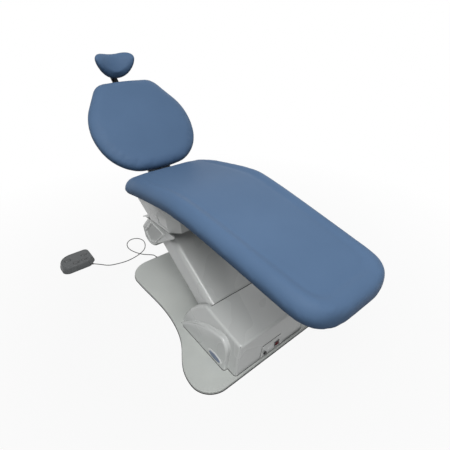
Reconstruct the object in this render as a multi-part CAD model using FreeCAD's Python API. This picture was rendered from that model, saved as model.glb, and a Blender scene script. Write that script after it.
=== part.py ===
import FreeCAD, Part
import math
import os

# Powered orthodontic chair, in millimetres. Origin: centre of the base plate on the floor.
# +Y runs from the foot end to the head end, +X is the patient's left, +Z is up.

# Base plate: hourglass of steel on a rubber sheet
PLATE_LENGTH = 1004.0
PLATE_FRONT_WIDTH = 780.0
PLATE_REAR_WIDTH = 532.0
PLATE_FRONT_R = 107.0
PLATE_REAR_R = 128.0
PLATE_SHOULDER = (312.0, -197.0)
PLATE_WAIST = (256.0, 80.0)
GASKET = 6.0
PLATE_THICK = 12.0
DECK = GASKET + PLATE_THICK

# Base housing: drafted block with fenders, open at the rear for the arm
WALL = 4.0
HOUSE_FRONT = -492.0
HOUSE_HALF_LOW = 222.0
HOUSE_HALF_TOP = 190.0
HOUSE_FRONT_TOP = 192.0
HOUSE_REAR_TOP = 226.0
HOUSE_REAR_Y = -236.0
CHEEK_MID = (-138.0, 150.0)
CHEEK_END = -62.0
FENDER_HALF = 243.0
FENDER_FRONT = -438.0
FENDER_END = -78.0
FENDER_TOP = 180.0
SLOT_FRONT = -250.0
SLOT_HALF = 169.0

# Switch panel on the housing's front
PANEL_HALF_LOW = 74.0
PANEL_HALF_TOP = 62.0
PANEL_LOW = 22.0
PANEL_TOP = 92.0
PANEL_THICK = 3.0
PANEL_PROUD = 2.0
FUSE_PLACE = (-44.0, 40.0)
CAP_PLACE = (-8.0, 52.0)
ROCKER_PLACE = (34.0, 50.0)
ROCKER_TILT = 7.0

# Lift parallelogram: the arm turns about its lower pivot, the tie rod keeps the seat level
LOWER_PIVOT = (-302.0, 100.0)
ARM_LENGTH = 620.0
ARM_ANGLE = math.radians(33.1)
ARM_HALF_WIDTH = 165.0
ARM_HALF_DEPTH = 69.0
ARM_ROUND = 30.0
ARM_OPEN_HALF = 150.0
ARM_OPEN_LENGTH = 62.0
ARM_END_R = 54.0
APRON_R = 108.0
TIE_DROP = 50.0
TIE_X = 70.0
MAIN_PIN_R = 15.0
SMALL_PIN_R = 10.0
RUN_FIT = 0.05
PLATE_IN = 136.0
PLATE_OUT = 148.0
RAIL_IN = 100.0
RAIL_OUT = 112.0
SEAT_RAIL_IN = 85.0
SEAT_RAIL_OUT = 103.0

# Screw drives: a pin on a lever runs in the slotted yoke of a screw
LIFT_LEVER = 76.0
LIFT_LEVER_TURN = math.radians(13.0)
BACK_LEVER = 75.0
BACK_LEVER_TURN = math.radians(14.0)
YOKE_PIN_R = 8.0
YOKE_IN = 10.0
YOKE_OUT = 18.0
YOKE_STEM = 29.0
SCREW_R = 9.0

# Seat cushion: rises to the knee and falls to both ends
KNEE_Y = -109.0
KNEE_Z = 761.5
SEAT_SLOPE = 0.1645
KNEE_SOFT = 95.0
SEAT_FOOT = -845.0
SEAT_REAR = 387.0
SEAT_HALF = 260.0
SEAT_TAPER = 0.058
SEAT_TAPER_Y = -100.0
SEAT_THICK = 84.0
FOOT_DEPTH = 150.0
FOOT_ROUND = 3.1
REAR_CORNER_R = 60.0
BORDER = 70.0
BORDER_RISE = 8.0
BOARD_THICK = 12.0
BOARD_HALF = 180.0

# Covers under the seat
SHELL_HALF = 192.0
SHELL_TOP_HALF = 222.0
PARTING_FRONT = (0.0, 494.0)
PARTING_REAR = (262.0, 480.0)

# Backrest: a plane through its foot, leaning back; s runs up it and t towards the patient
BACK_FOOT = (427.8, 630.7)
BACK_ANGLE = math.radians(46.0)
BACK_HINGE = (402.0, 566.0)
BACK_CUSHION_T = 20.0
BACK_THICK = 64.0
STRAP_HALF = 68.0

# Headrest: hinged on a bar that slides behind the backrest
BAR_HALF = 33.0
BAR_T = (-11.0, -3.0)
BAR_S = (320.0, 500.0, 606.0)
HEAD_HINGE = (671.0, -36.0)
HEAD_LEAN = math.radians(22.4)
HEAD_HALF = 112.0
HEAD_CENTRE = 20.0
HEAD_TIP = 26.0
HEAD_DIP = 65.5
HEAD_LOBE = 7.0
HEAD_LOBE_X = 70.0
HEAD_CHIN = -63.0
HEAD_BEND = 50.0
HEAD_MIDDLE = 64.5
HEAD_THICK = 52.0

# Foot control, and its lead from the plate's rear edge
PEDAL_OUTLINE = ((-594.0, 698.0, 42.0), (-430.0, 698.0, 24.0), (-388.0, 742.0, 24.0), (-388.0, 860.0, 36.0),
                 (-594.0, 860.0, 84.0))
PEDAL_HEIGHT = 46.0
CORD_R = 2.75
GLAND = (-60.0, 12.0)
RELIEF_LENGTH = 10.0
CORD_ROUTE = [
    (-60, 514, 12), (-60, 537, 12), (-80, 568, 6), (-111, 602, 2.75), (-137, 647, 2.75),
    (-155, 698, 2.75), (-157, 749, 2.75), (-139, 796, 2.75), (-99, 824, 2.75), (-56, 811, 2.75),
    (-32, 771, 2.75), (-35, 721, 2.75), (-58, 674, 2.75), (-79, 646, 6), (-103, 624, 10.5),
    (-143, 606, 10.5), (-190, 600, 6), (-240, 603, 2.75), (-290, 615, 2.75), (-340, 632, 2.75),
    (-387.1, 684.9, 6), (-408.8, 705.7, 6),
]


def vector(x, y, z):
    return FreeCAD.Vector(x, y, z)


def block(x0, x1, y0, y1, z0, z1):
    """Box between two corners."""
    return Part.makeBox(x1 - x0, y1 - y0, z1 - z0, vector(x0, y0, z0))


def bar_across(place, radius, x0, x1):
    """Round bar across the chair at a (y, z) place."""
    return Part.makeCylinder(radius, x1 - x0, vector(x0, place[0], place[1]), vector(1, 0, 0))


def bar_along(x, z, radius, y0, y1):
    """Round bar along the chair."""
    return Part.makeCylinder(radius, y1 - y0, vector(x, y0, z), vector(0, 1, 0))


def joined(points):
    """Closed wire; a step is a corner, or a (middle, end) pair for an arc. The first is a corner."""
    edges = []
    here = points[0]
    for step in points[1:] + points[:1]:
        if isinstance(step, tuple):
            middle, end = step
            edges.append(Part.Arc(here, middle, end).toShape())
            here = end
        elif here.distanceToPoint(step) > 1e-6:
            edges.append(Part.LineSegment(here, step).toShape())
            here = step
    return Part.Wire(edges)


def slab(steps, x0, x1):
    """Side profile of (y, z) corners and arcs, carried across from x0 to x1."""
    points = []
    for step in steps:
        if isinstance(step[0], tuple):
            points.append(tuple(vector(x0, *place) for place in step))
        else:
            points.append(vector(x0, *step))
    return Part.Face(joined(points)).extrude(vector(x1 - x0, 0, 0))


def front_slab(corners, y0, y1):
    """Front outline of (x, z) corners, carried back from y0 to y1."""
    points = [vector(x, y0, z) for x, z in corners]
    return Part.Face(joined(points)).extrude(vector(0, y1 - y0, 0))


def mirrored(shape):
    return shape.mirror(vector(0, 0, 0), vector(1, 0, 0))


def pair(shape):
    """The shape and its mirror image, as separate solids."""
    return Part.makeCompound([shape, mirrored(shape)])


def rounded(shape, radius, wanted):
    """Shape with the edges that the test picks rounded off."""
    edges = [edge for edge in shape.Edges if wanted(edge)]
    return shape.makeFillet(radius, edges)


def fuse(*shapes):
    return shapes[0].multiFuse(list(shapes[1:])).removeSplitter()


def polar(centre, radius, angle):
    """Place at a distance and an angle, from +Y towards +Z."""
    return (centre[0] + radius * math.cos(angle), centre[1] + radius * math.sin(angle))


def arm_place(along, up):
    """Side-view place measured along the arm from its lower pivot, and up from its axis."""
    y = LOWER_PIVOT[0] + along * math.cos(ARM_ANGLE) - up * math.sin(ARM_ANGLE)
    z = LOWER_PIVOT[1] + along * math.sin(ARM_ANGLE) + up * math.cos(ARM_ANGLE)
    return (y, z)


def back_place(s, t):
    """Side-view place measured up the backrest's plane and out from it."""
    y = BACK_FOOT[0] + s * math.cos(BACK_ANGLE) - t * math.sin(BACK_ANGLE)
    z = BACK_FOOT[1] + s * math.sin(BACK_ANGLE) + t * math.cos(BACK_ANGLE)
    return (y, z)


def head_place(s, t):
    """Side-view place measured from the headrest's hinge, in its own leaning plane."""
    hinge = back_place(*HEAD_HINGE)
    angle = BACK_ANGLE + HEAD_LEAN
    y = hinge[0] + s * math.cos(angle) - t * math.sin(angle)
    z = hinge[1] + s * math.sin(angle) + t * math.cos(angle)
    return (y, z)


UPPER_PIVOT = arm_place(ARM_LENGTH, 0)
LOWER_TIE = (LOWER_PIVOT[0], LOWER_PIVOT[1] - TIE_DROP)
UPPER_TIE = (UPPER_PIVOT[0], UPPER_PIVOT[1] - TIE_DROP)
LIFT_PIN = polar(LOWER_PIVOT, LIFT_LEVER, math.pi / 2 + LIFT_LEVER_TURN)
BACK_PIN = polar(BACK_HINGE, BACK_LEVER, -math.pi / 2 + BACK_LEVER_TURN)


def seat_top(y):
    """Height of the cushion's border along the chair: two slopes that meet softly at the knee."""
    return KNEE_Z - SEAT_SLOPE * math.hypot(y - KNEE_Y, KNEE_SOFT)


def seat_under(y):
    return seat_top(y) - SEAT_THICK


# Base

def plate_outline(z, inset):
    """Hourglass outline: straight ends, round corners and waisted sides."""
    end = PLATE_LENGTH / 2 - inset
    front = PLATE_FRONT_WIDTH / 2 - inset
    rear = PLATE_REAR_WIDTH / 2 - inset
    front_r = PLATE_FRONT_R - inset
    rear_r = PLATE_REAR_R - inset
    diagonal = 1 - math.sqrt(0.5)
    half = []
    half.append(Part.Arc(vector(front - front_r, -end, z),
                         vector(front - diagonal * front_r, -end + diagonal * front_r, z),
                         vector(front, front_r - end, z)).toShape())
    side = Part.BSplineCurve()
    shoulder = vector(PLATE_SHOULDER[0] - inset, PLATE_SHOULDER[1], z)
    waist = vector(PLATE_WAIST[0] - inset, PLATE_WAIST[1], z)
    side.interpolate([vector(front, front_r - end, z), shoulder, waist, vector(rear, end - rear_r, z)],
                     InitialTangent=vector(0, 1, 0), FinalTangent=vector(0, 1, 0))
    half.append(side.toShape())
    half.append(Part.Arc(vector(rear, end - rear_r, z),
                         vector(rear - diagonal * rear_r, end - diagonal * rear_r, z),
                         vector(rear - rear_r, end, z)).toShape())
    ends = [Part.LineSegment(vector(x, y, z), vector(-x, y, z)).toShape()
            for x, y in ((front - front_r, -end), (rear - rear_r, end))]
    edges = half + [mirrored(edge) for edge in half] + ends
    return Part.Wire(Part.__sortEdges__(edges))


def base_plate():
    plate = Part.Face(plate_outline(GASKET, 0)).extrude(vector(0, 0, PLATE_THICK))
    return plate.makeChamfer(2.5, [edge for edge in plate.Edges if edge.BoundBox.ZMin > DECK - 0.01])


def base_gasket():
    return Part.Face(plate_outline(0, 3.0)).extrude(vector(0, 0, GASKET))


def housing_block(inset):
    """Main block of the housing: its side profile, cut to the drafted cross-section."""
    low = HOUSE_HALF_LOW - inset
    top = HOUSE_HALF_TOP - inset
    reach = HOUSE_HALF_LOW + WALL
    side = slab([(HOUSE_FRONT + inset, DECK), (HOUSE_FRONT + inset, HOUSE_FRONT_TOP - inset),
                 (HOUSE_REAR_Y, HOUSE_REAR_TOP - inset),
                 ((CHEEK_MID[0] - inset, CHEEK_MID[1] - inset), (CHEEK_END - inset, DECK))],
                -reach, reach)
    section = front_slab([(-low, DECK), (low, DECK), (top, HOUSE_REAR_TOP), (-top, HOUSE_REAR_TOP)],
                         HOUSE_FRONT - WALL, 0)
    return side.common(section)


def fender(inset):
    """Swelling on the housing's side: rises in an arc from the rear and rounds over at the front."""
    front = FENDER_FRONT + inset
    top = FENDER_TOP - inset
    side = slab([(FENDER_END - inset, DECK), (front, DECK), (front, top - 58),
                 ((front + 17, top - 16), (front + 60, top)),
                 ((front + 225, top - 62), (FENDER_END - inset, DECK))],
                SLOT_HALF, FENDER_HALF)
    half = FENDER_HALF - inset
    section = front_slab([(SLOT_HALF, DECK), (half, DECK), (half - 20, FENDER_TOP), (SLOT_HALF, FENDER_TOP)],
                         FENDER_FRONT, 0)
    return side.common(section)


def base_housing():
    block_edges = 14.0
    fender_edges = 12.0
    outer = rounded(housing_block(0), block_edges, lambda edge: edge.CenterOfMass.z > DECK + 1)
    swell = rounded(fender(0), fender_edges,
                    lambda edge: edge.CenterOfMass.x > SLOT_HALF + 5 and edge.CenterOfMass.z > DECK + 1
                    and edge.BoundBox.XLength < 25)
    shell = fuse(outer, swell, mirrored(swell))
    shell = shell.cut(housing_block(WALL)).cut(pair(fender(WALL)))
    slot = block(-SLOT_HALF, SLOT_HALF, SLOT_FRONT, 0, DECK, HOUSE_REAR_TOP + WALL)
    pocket = panel_solid(HOUSE_FRONT, HOUSE_FRONT + PANEL_THICK, -0.2)
    x0, x1 = FUSE_PLACE[0] - 9, ROCKER_PLACE[0] + 15
    window = block(x0, x1, HOUSE_FRONT, HOUSE_FRONT + 2 * WALL, FUSE_PLACE[1] - 9, ROCKER_PLACE[1] + 13)
    return shell.cut(slot).cut(pocket).cut(window)


def panel_solid(y0, y1, inset):
    return front_slab([(-PANEL_HALF_LOW + inset, PANEL_LOW + inset), (PANEL_HALF_LOW - inset, PANEL_LOW + inset),
                       (PANEL_HALF_TOP - inset, PANEL_TOP - inset), (-PANEL_HALF_TOP + inset, PANEL_TOP - inset)],
                      y0, y1)


PANEL_FACE = HOUSE_FRONT - PANEL_PROUD


def front_panel():
    """Trapezoid plate with the holes of its fittings."""
    plate = panel_solid(PANEL_FACE, HOUSE_FRONT + PANEL_THICK, 0)
    fuse_hole = bar_along(*FUSE_PLACE, 7.0, PANEL_FACE - 1, HOUSE_FRONT + PANEL_THICK + 1)
    x, z = ROCKER_PLACE
    switch_hole = block(x - 13, x + 13, PANEL_FACE - 1, HOUSE_FRONT + PANEL_THICK + 1, z - 11, z + 11)
    return plate.cut(fuse_hole).cut(switch_hole)


def panel_cap():
    """Plain oval cap, slightly domed."""
    x, z = CAP_PLACE
    rim = Part.Ellipse(vector(0, 0, 0), 17, 12).toShape()
    top = Part.Ellipse(vector(0, 0, 2.4), 14, 9).toShape()
    cap = Part.makeLoft([Part.Wire(rim), Part.Wire(top)], True)
    cap.rotate(vector(0, 0, 0), vector(1, 0, 0), 90)
    cap.translate(vector(x, PANEL_FACE, z))
    return cap


def fuse_holder():
    x, z = FUSE_PLACE
    flange = bar_along(x, z, 10.0, PANEL_FACE - 2.5, PANEL_FACE)
    barrel = bar_along(x, z, 6.9, PANEL_FACE, PANEL_FACE + 24)
    return fuse(flange, barrel).cut(bar_along(x, z, 5.1, PANEL_FACE - 3, PANEL_FACE + 20))


def fuse_cap():
    """Bayonet cap with a coin slot."""
    x, z = FUSE_PLACE
    head = bar_along(x, z, 7.5, PANEL_FACE - 7.5, PANEL_FACE - 2.6)
    plug = bar_along(x, z, 5.05, PANEL_FACE - 2.6, PANEL_FACE + 16)
    slot = block(x - 5, x + 5, PANEL_FACE - 8, PANEL_FACE - 6, z - 0.9, z + 0.9)
    return fuse(head, plug).cut(slot)


def rocker_frame():
    x, z = ROCKER_PLACE
    bezel = block(x - 16, x + 16, PANEL_FACE - 2, PANEL_FACE, z - 14, z + 14)
    box = block(x - 12.8, x + 12.8, PANEL_FACE, PANEL_FACE + 22, z - 10.8, z + 10.8)
    hollow = block(x - 11, x + 11, PANEL_FACE - 3, PANEL_FACE + 12, z - 9, z + 9)
    return fuse(bezel, box).cut(hollow)


def power_rocker():
    """Rocker with a shallow V face, resting in its off position."""
    x, z = ROCKER_PLACE
    y = PANEL_FACE
    rocker = slab([(y + 3, z - 7.6), (y - 4.2, z - 8), (y - 2.4, z), (y - 4.2, z + 8), (y + 3, z + 7.6)],
                  x - 10.5, x + 10.5)
    rocker.rotate(vector(x, y, z), vector(1, 0, 0), -ROCKER_TILT)
    return rocker


def pivot_bracket():
    """Side plate of the base, with the bore of the lower arm pin."""
    y, z = LOWER_PIVOT
    head = 32.0
    foot = 54.0
    plate = slab([(y - foot, DECK), (y + foot, DECK), (y + head, z), ((y, z + head), (y - head, z))],
                 PLATE_IN, PLATE_OUT)
    return plate.cut(bar_across(LOWER_PIVOT, MAIN_PIN_R + RUN_FIT, PLATE_IN - 1, PLATE_OUT + 1))


def main_pin(place):
    head = 3.0
    shank = bar_across(place, MAIN_PIN_R, -PLATE_OUT - head, PLATE_OUT + head)
    return shank.makeChamfer(1.5, [edge for edge in shank.Edges if edge.BoundBox.XLength < 0.01])


EYE_HALF = 12.0
EAR_GAP = 13.0
EAR_OUT = 21.0


def ears(steps, bore_place):
    """Two ears either side of the tie rod's eye, with the bore of its pin."""
    ear = slab(steps, TIE_X + EAR_GAP, TIE_X + EAR_OUT)
    other = slab(steps, TIE_X - EAR_OUT, TIE_X - EAR_GAP)
    bore = bar_across(bore_place, SMALL_PIN_R + RUN_FIT, TIE_X - EAR_OUT - 1, TIE_X + EAR_OUT + 1)
    return ear.cut(bore), other.cut(bore)


def tie_anchor():
    """Clevis on the base plate for the tie rod."""
    y, z = LOWER_TIE
    r = 20.0
    ear, other = ears([(y - r, DECK + 6), (y + r, DECK + 6), (y + r, z), ((y, z + r), (y - r, z))], LOWER_TIE)
    foot = block(TIE_X - EAR_OUT, TIE_X + EAR_OUT, y - r, y + r, DECK, DECK + 6)
    return fuse(foot, ear, other)


def tie_pin(place):
    return bar_across(place, SMALL_PIN_R, TIE_X - EAR_OUT - 2, TIE_X + EAR_OUT + 2)


def gearmotor_bore(z, y0, y1):
    return bar_along(0, z, SCREW_R + 0.5, y0, y1)


def lift_gearmotor():
    """Upright motor on the plate, with the nut box that draws the lift screw in."""
    z = LIFT_PIN[1]
    box = block(-38, 38, -452, -374, 118, z + 18)
    motor = Part.makeCylinder(34, 118 - DECK - 8, vector(0, -413, DECK + 8))
    flange = block(-45, 45, -456, -370, DECK, DECK + 8)
    return fuse(box, motor, flange).cut(gearmotor_bore(z, -460, -360))


def control_box():
    box = block(-176, -62, -466, -388, DECK, 128)
    box = rounded(box, 5.0, lambda edge: edge.BoundBox.ZLength > 50)
    lid_line = block(-180, -58, -470, -384, 100, 102).cut(block(-175, -63, -465, -389, 99, 103))
    return box.cut(lid_line)


def cord_gland():
    """Gland screwed into the plate's rear edge."""
    x, z = GLAND
    rear = PLATE_LENGTH / 2
    nut = Part.makeCylinder(5.8, 5.0, vector(x, rear, z), vector(0, 1, 0))
    nose = Part.makeCone(5.2, 3.6, 7.0, vector(x, rear + 5.0, z), vector(0, 1, 0))
    return fuse(nut, nose)


def pedal_cord():
    """Lead along its route: straight runs joined by arcs as large as the runs allow."""
    points = [vector(*place) for place in CORD_ROUTE]
    share = 0.45
    edges = []
    here = points[0]
    tightest = PLATE_LENGTH
    for before, corner, after in zip(points, points[1:], points[2:]):
        a = before - corner
        b = after - corner
        cut = share * min(a.Length, b.Length)
        turn = math.pi - a.getAngle(b)
        radius = cut / math.tan(turn / 2)
        tightest = min(tightest, radius)
        a.normalize()
        b.normalize()
        start = corner + a * cut
        end = corner + b * cut
        bisector = a + b
        bisector.normalize()
        middle = corner + bisector * (radius / math.cos(turn / 2) - radius)
        edges.append(Part.LineSegment(here, start).toShape())
        edges.append(Part.Arc(start, middle, end).toShape())
        here = end
    edges.append(Part.LineSegment(here, points[-1]).toShape())
    path = Part.Wire(edges)
    heading = points[1] - points[0]
    section = Part.Wire(Part.Circle(points[0], heading, CORD_R).toShape())
    tube = path.makePipeShell([section], True, False)
    print("cord length", round(path.Length, 1), "tightest bend", round(tightest, 1), "volume ratio",
          round(tube.Volume / (math.pi * CORD_R ** 2 * path.Length), 4))
    return tube


# Foot control

def pedal_wire(z, inset):
    """Outline of straight sides and round corners, drawn in all round by the inset."""
    corners = [vector(x, y, z) for x, y, radius in PEDAL_OUTLINE]
    steps = []
    for index, (x, y, radius) in enumerate(PEDAL_OUTLINE):
        corner = corners[index]
        back = corners[index - 1] - corner
        ahead = corners[(index + 1) % len(corners)] - corner
        half = back.getAngle(ahead) / 2
        back.normalize()
        ahead.normalize()
        inward = back + ahead
        inward.normalize()
        centre = corner + inward * (radius / math.sin(half))
        run = radius / math.tan(half)
        share = (radius - inset) / radius
        steps.append(centre + (corner + back * run - centre) * share)
        steps.append((centre - inward * (radius - inset), centre + (corner + ahead * run - centre) * share))
    return joined(steps)


def pedal_layers(layers):
    """Loft through outlines, each given as (height, inset)."""
    return Part.makeLoft([pedal_wire(z, inset) for z, inset in layers], True, True)


PEDAL_SPLIT = 14.0
PEDAL_BUTTONS = {
    "seat_up": (-540.0, 790.0),
    "seat_down": (-503.0, 740.0),
    "back_up": (-436.0, 792.0),
    "back_down": (-450.0, 744.0),
}


def button_solid(place, half_length, half_width, z0, z1):
    """Oval button, long across the foot control."""
    x, y = place
    run = half_length - half_width
    oval = joined([vector(x - run, y - half_width, z0), vector(x + run, y - half_width, z0),
                   (vector(x + half_length, y, z0), vector(x + run, y + half_width, z0)),
                   vector(x - run, y + half_width, z0),
                   (vector(x - half_length, y, z0), vector(x - run, y - half_width, z0))])
    return Part.Face(oval).extrude(vector(0, 0, z1 - z0))


def pedal_cover():
    """Moulded top of the foot control: sloping sides, hollow, holed for its buttons."""
    outer = pedal_layers([(PEDAL_SPLIT, 1.5), (PEDAL_HEIGHT - 8, 7), (PEDAL_HEIGHT - 2.5, 10), (PEDAL_HEIGHT, 14)])
    hollow = pedal_layers([(PEDAL_SPLIT, 5), (PEDAL_HEIGHT - 4, 14)])
    cover = outer.cut(hollow)
    for place in PEDAL_BUTTONS.values():
        cover = cover.cut(button_solid(place, 20.4, 12.4, PEDAL_HEIGHT - 8, PEDAL_HEIGHT + 1))
    return cover


def pedal_base():
    return pedal_layers([(3, 4), (6, 0), (PEDAL_SPLIT, 0)])


def pedal_sole():
    return pedal_layers([(0, 12), (3, 12)])


def pedal_relief():
    """Sleeve round the lead's end, standing on the chamfered corner of the case."""
    end = vector(*CORD_ROUTE[-1])
    inward = end - vector(*CORD_ROUTE[-2])
    inward.normalize()
    return Part.makeCone(3.4, 5.0, RELIEF_LENGTH, end, inward)


def pedal_button(place):
    travel_room = 10.0
    button = button_solid(place, 20, 12, PEDAL_HEIGHT - travel_room, PEDAL_HEIGHT + 3)
    return button.makeChamfer(1.6, [edge for edge in button.Edges if edge.BoundBox.ZMin > PEDAL_HEIGHT + 2.9])


# Lift arm

def stadium(inset, across, rounding):
    """Arm cover's full form: a slab round both pivots, with rounded sides."""
    half = ARM_HALF_DEPTH - inset
    form = slab([arm_place(0, half), arm_place(ARM_LENGTH, half),
                 (arm_place(ARM_LENGTH + half, 0), arm_place(ARM_LENGTH, -half)), arm_place(0, -half),
                 (arm_place(-half, 0), arm_place(0, half))], -across, across)
    return rounded(form, rounding, lambda edge: edge.BoundBox.XLength < 0.01)


def apron():
    """Curved wall about the lower pivot, which keeps the housing's slot closed as the arm sinks."""
    first = ARM_ANGLE + math.asin(ARM_HALF_DEPTH / APRON_R) - 0.03
    last = ARM_ANGLE + math.radians(77)
    middle = (first + last) / 2
    inner = APRON_R - WALL
    return slab([polar(LOWER_PIVOT, APRON_R, first),
                 (polar(LOWER_PIVOT, APRON_R, middle), polar(LOWER_PIVOT, APRON_R, last)),
                 polar(LOWER_PIVOT, inner, last),
                 (polar(LOWER_PIVOT, inner, middle), polar(LOWER_PIVOT, inner, first))],
                -ARM_OPEN_HALF + 2, ARM_OPEN_HALF - 2)


def arm_cover():
    """Moulded channel over the arm: top and sides, open below and at both ends."""
    shell = stadium(0, ARM_HALF_WIDTH, ARM_ROUND).cut(stadium(WALL, ARM_HALF_WIDTH - WALL, ARM_ROUND - WALL))
    far = ARM_LENGTH + APRON_R
    low_end = slab([arm_place(-APRON_R, -APRON_R), arm_place(ARM_OPEN_LENGTH, -APRON_R),
                    arm_place(ARM_OPEN_LENGTH, APRON_R), arm_place(-APRON_R, APRON_R)],
                   -ARM_OPEN_HALF, ARM_OPEN_HALF)
    high_end = slab([arm_place(ARM_LENGTH - ARM_OPEN_LENGTH, -APRON_R), arm_place(far, -APRON_R),
                     arm_place(far, APRON_R), arm_place(ARM_LENGTH - ARM_OPEN_LENGTH, APRON_R)],
                    -ARM_OPEN_HALF, ARM_OPEN_HALF)
    below = slab([arm_place(0, -APRON_R), arm_place(ARM_LENGTH, -APRON_R),
                  arm_place(ARM_LENGTH, -ARM_HALF_DEPTH / 2), arm_place(0, -ARM_HALF_DEPTH / 2)],
                 -ARM_OPEN_HALF + ARM_ROUND, ARM_OPEN_HALF - ARM_ROUND)
    trim = slab([arm_place(ARM_LENGTH - 10, -APRON_R), arm_place(far, -APRON_R), arm_place(far, APRON_R),
                 arm_place(ARM_LENGTH - 10, APRON_R)], -ARM_HALF_WIDTH - 1, ARM_HALF_WIDTH + 1)
    trim = trim.cut(bar_across(UPPER_PIVOT, ARM_END_R, -ARM_HALF_WIDTH - 2, ARM_HALF_WIDTH + 2))
    return fuse(shell.cut(low_end).cut(high_end).cut(below).cut(trim), apron())


def arm_back_cover():
    """Plain panel that closes the arm cover from below."""
    start = ARM_OPEN_LENGTH
    end = ARM_LENGTH - ARM_OPEN_LENGTH
    low = -ARM_HALF_DEPTH
    half = ARM_OPEN_HALF - ARM_ROUND - 0.5
    return slab([arm_place(start, low), arm_place(end, low), arm_place(end, low + WALL), arm_place(start, low + WALL)],
                -half, half)


def arm_frame():
    """Two rails, a bored tube at each pivot, cross tubes, and the horn that the lift screw works on."""
    half = 38.0
    rail = slab([arm_place(0, half), arm_place(ARM_LENGTH, half),
                 (arm_place(ARM_LENGTH + half, 0), arm_place(ARM_LENGTH, -half)), arm_place(0, -half),
                 (arm_place(-half, 0), arm_place(0, half))], RAIL_IN, RAIL_OUT)
    for share in (0.375, 0.625):
        rail = rail.cut(bar_across(arm_place(share * ARM_LENGTH, 0), 22, RAIL_IN - 1, RAIL_OUT + 1))
    tube = PLATE_IN - 1.5
    tubes = [bar_across(place, 26, -tube, tube) for place in (LOWER_PIVOT, UPPER_PIVOT)]
    crosses = [bar_across(arm_place(share * ARM_LENGTH, 8), 18, -RAIL_OUT, RAIL_OUT) for share in (0.25, 0.5, 0.75)]
    horn_end = 15.0
    turn = math.pi / 2 + LIFT_LEVER_TURN
    side = (math.cos(turn - math.pi / 2), math.sin(turn - math.pi / 2))

    def horn_place(radius, offset):
        y, z = polar(LOWER_PIVOT, radius, turn)
        return (y + offset * side[0], z + offset * side[1])

    horn = slab([horn_place(0, -24), horn_place(0, 24), horn_place(LIFT_LEVER, horn_end),
                 (horn_place(LIFT_LEVER + horn_end, 0), horn_place(LIFT_LEVER, -horn_end))],
                -YOKE_IN + 2, YOKE_IN - 2)
    frame = fuse(rail, mirrored(rail), horn, *crosses, *tubes)
    for place in (LOWER_PIVOT, UPPER_PIVOT):
        frame = frame.cut(bar_across(place, MAIN_PIN_R + 3, -PLATE_IN, PLATE_IN))
    return frame.cut(bar_across(LIFT_PIN, YOKE_PIN_R, -YOKE_IN, YOKE_IN))


def arm_bushes():
    """Flanged bearing bushes at the ends of the two pivot tubes."""
    bushes = []
    tube = PLATE_IN - 1.5
    for place in (LOWER_PIVOT, UPPER_PIVOT):
        bush = bar_across(place, MAIN_PIN_R + 3, tube - 34, tube)
        flange = bar_across(place, MAIN_PIN_R + 8, tube, tube + 1.2)
        bore = bar_across(place, MAIN_PIN_R + RUN_FIT, tube - 40, tube + 2)
        one = fuse(bush, flange).cut(bore)
        bushes += [one, mirrored(one)]
    return Part.makeCompound(bushes)


def horn_pin():
    return bar_across(LIFT_PIN, YOKE_PIN_R, -YOKE_OUT - 3, YOKE_OUT + 3)


def yoke(pin, slot_half, slot_low, slot_high, shift):
    """Fork on a screw's end, whose upright slot drives a lever's pin."""
    y = pin[0] + shift
    low = slot_low - 7
    high = slot_high + 6
    cheek = block(YOKE_IN, YOKE_OUT, y - YOKE_STEM, y + slot_half + 7, low, high)
    slot = block(YOKE_IN - 1, YOKE_OUT + 1, y - slot_half, y + slot_half, slot_low, slot_high)
    cheek = cheek.cut(slot)
    stem = block(-YOKE_OUT, YOKE_OUT, y - YOKE_STEM - 14, y - YOKE_STEM, low, high)
    return fuse(stem, cheek, mirrored(cheek))


def lift_screw():
    high = LOWER_PIVOT[1] + LIFT_LEVER + YOKE_PIN_R + 1
    low = LIFT_PIN[1] - YOKE_PIN_R - 1
    fork = yoke(LIFT_PIN, YOKE_PIN_R + 0.5, low, high, 0)
    tail = LIFT_PIN[0] - YOKE_STEM - 14
    return fuse(fork, bar_along(0, LIFT_PIN[1], SCREW_R, tail - 92, tail))


def tie_rod():
    """Levelling rod with a bored eye at each end."""
    start = vector(TIE_X, *LOWER_TIE)
    end = vector(TIE_X, *UPPER_TIE)
    shank = Part.makeCylinder(11, ARM_LENGTH, start, end - start)
    eyes = [bar_across(place, 19, TIE_X - EYE_HALF, TIE_X + EYE_HALF) for place in (LOWER_TIE, UPPER_TIE)]
    rod = fuse(shank, *eyes)
    open_fit = 0.3
    rod = rod.cut(bar_across(LOWER_TIE, SMALL_PIN_R + RUN_FIT, TIE_X - 20, TIE_X + 20))
    return rod.cut(bar_across(UPPER_TIE, SMALL_PIN_R + open_fit, TIE_X - 20, TIE_X + 20))


# Seat

def along_seat(offset, thick, y_list, x0, x1):
    """Slab that follows the seat's underside at a given drop, with a given thickness."""
    top = [(y, seat_under(y) - offset) for y in y_list]
    low = [(y, z - thick) for y, z in reversed(top)]
    return slab(top + low, x0, x1)


HANGER_Y = 255.0
BACK_SCREW_Z = BACK_PIN[1] + 4
LEG_STATIONS = (-614.0, -420.0, -290.0, -200.0, -150.0, -109.0, -68.0, -18.0)
PAN_STATIONS = (-18.0, 60.0, 180.0)


def seat_board():
    """Moulded board under the cushion, bent at the knee."""
    stations = (SEAT_FOOT + 90,) + LEG_STATIONS + PAN_STATIONS[1:] + (SEAT_REAR - 24,)
    return along_seat(0.5, BOARD_THICK, stations, -BOARD_HALF, BOARD_HALF)


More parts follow.
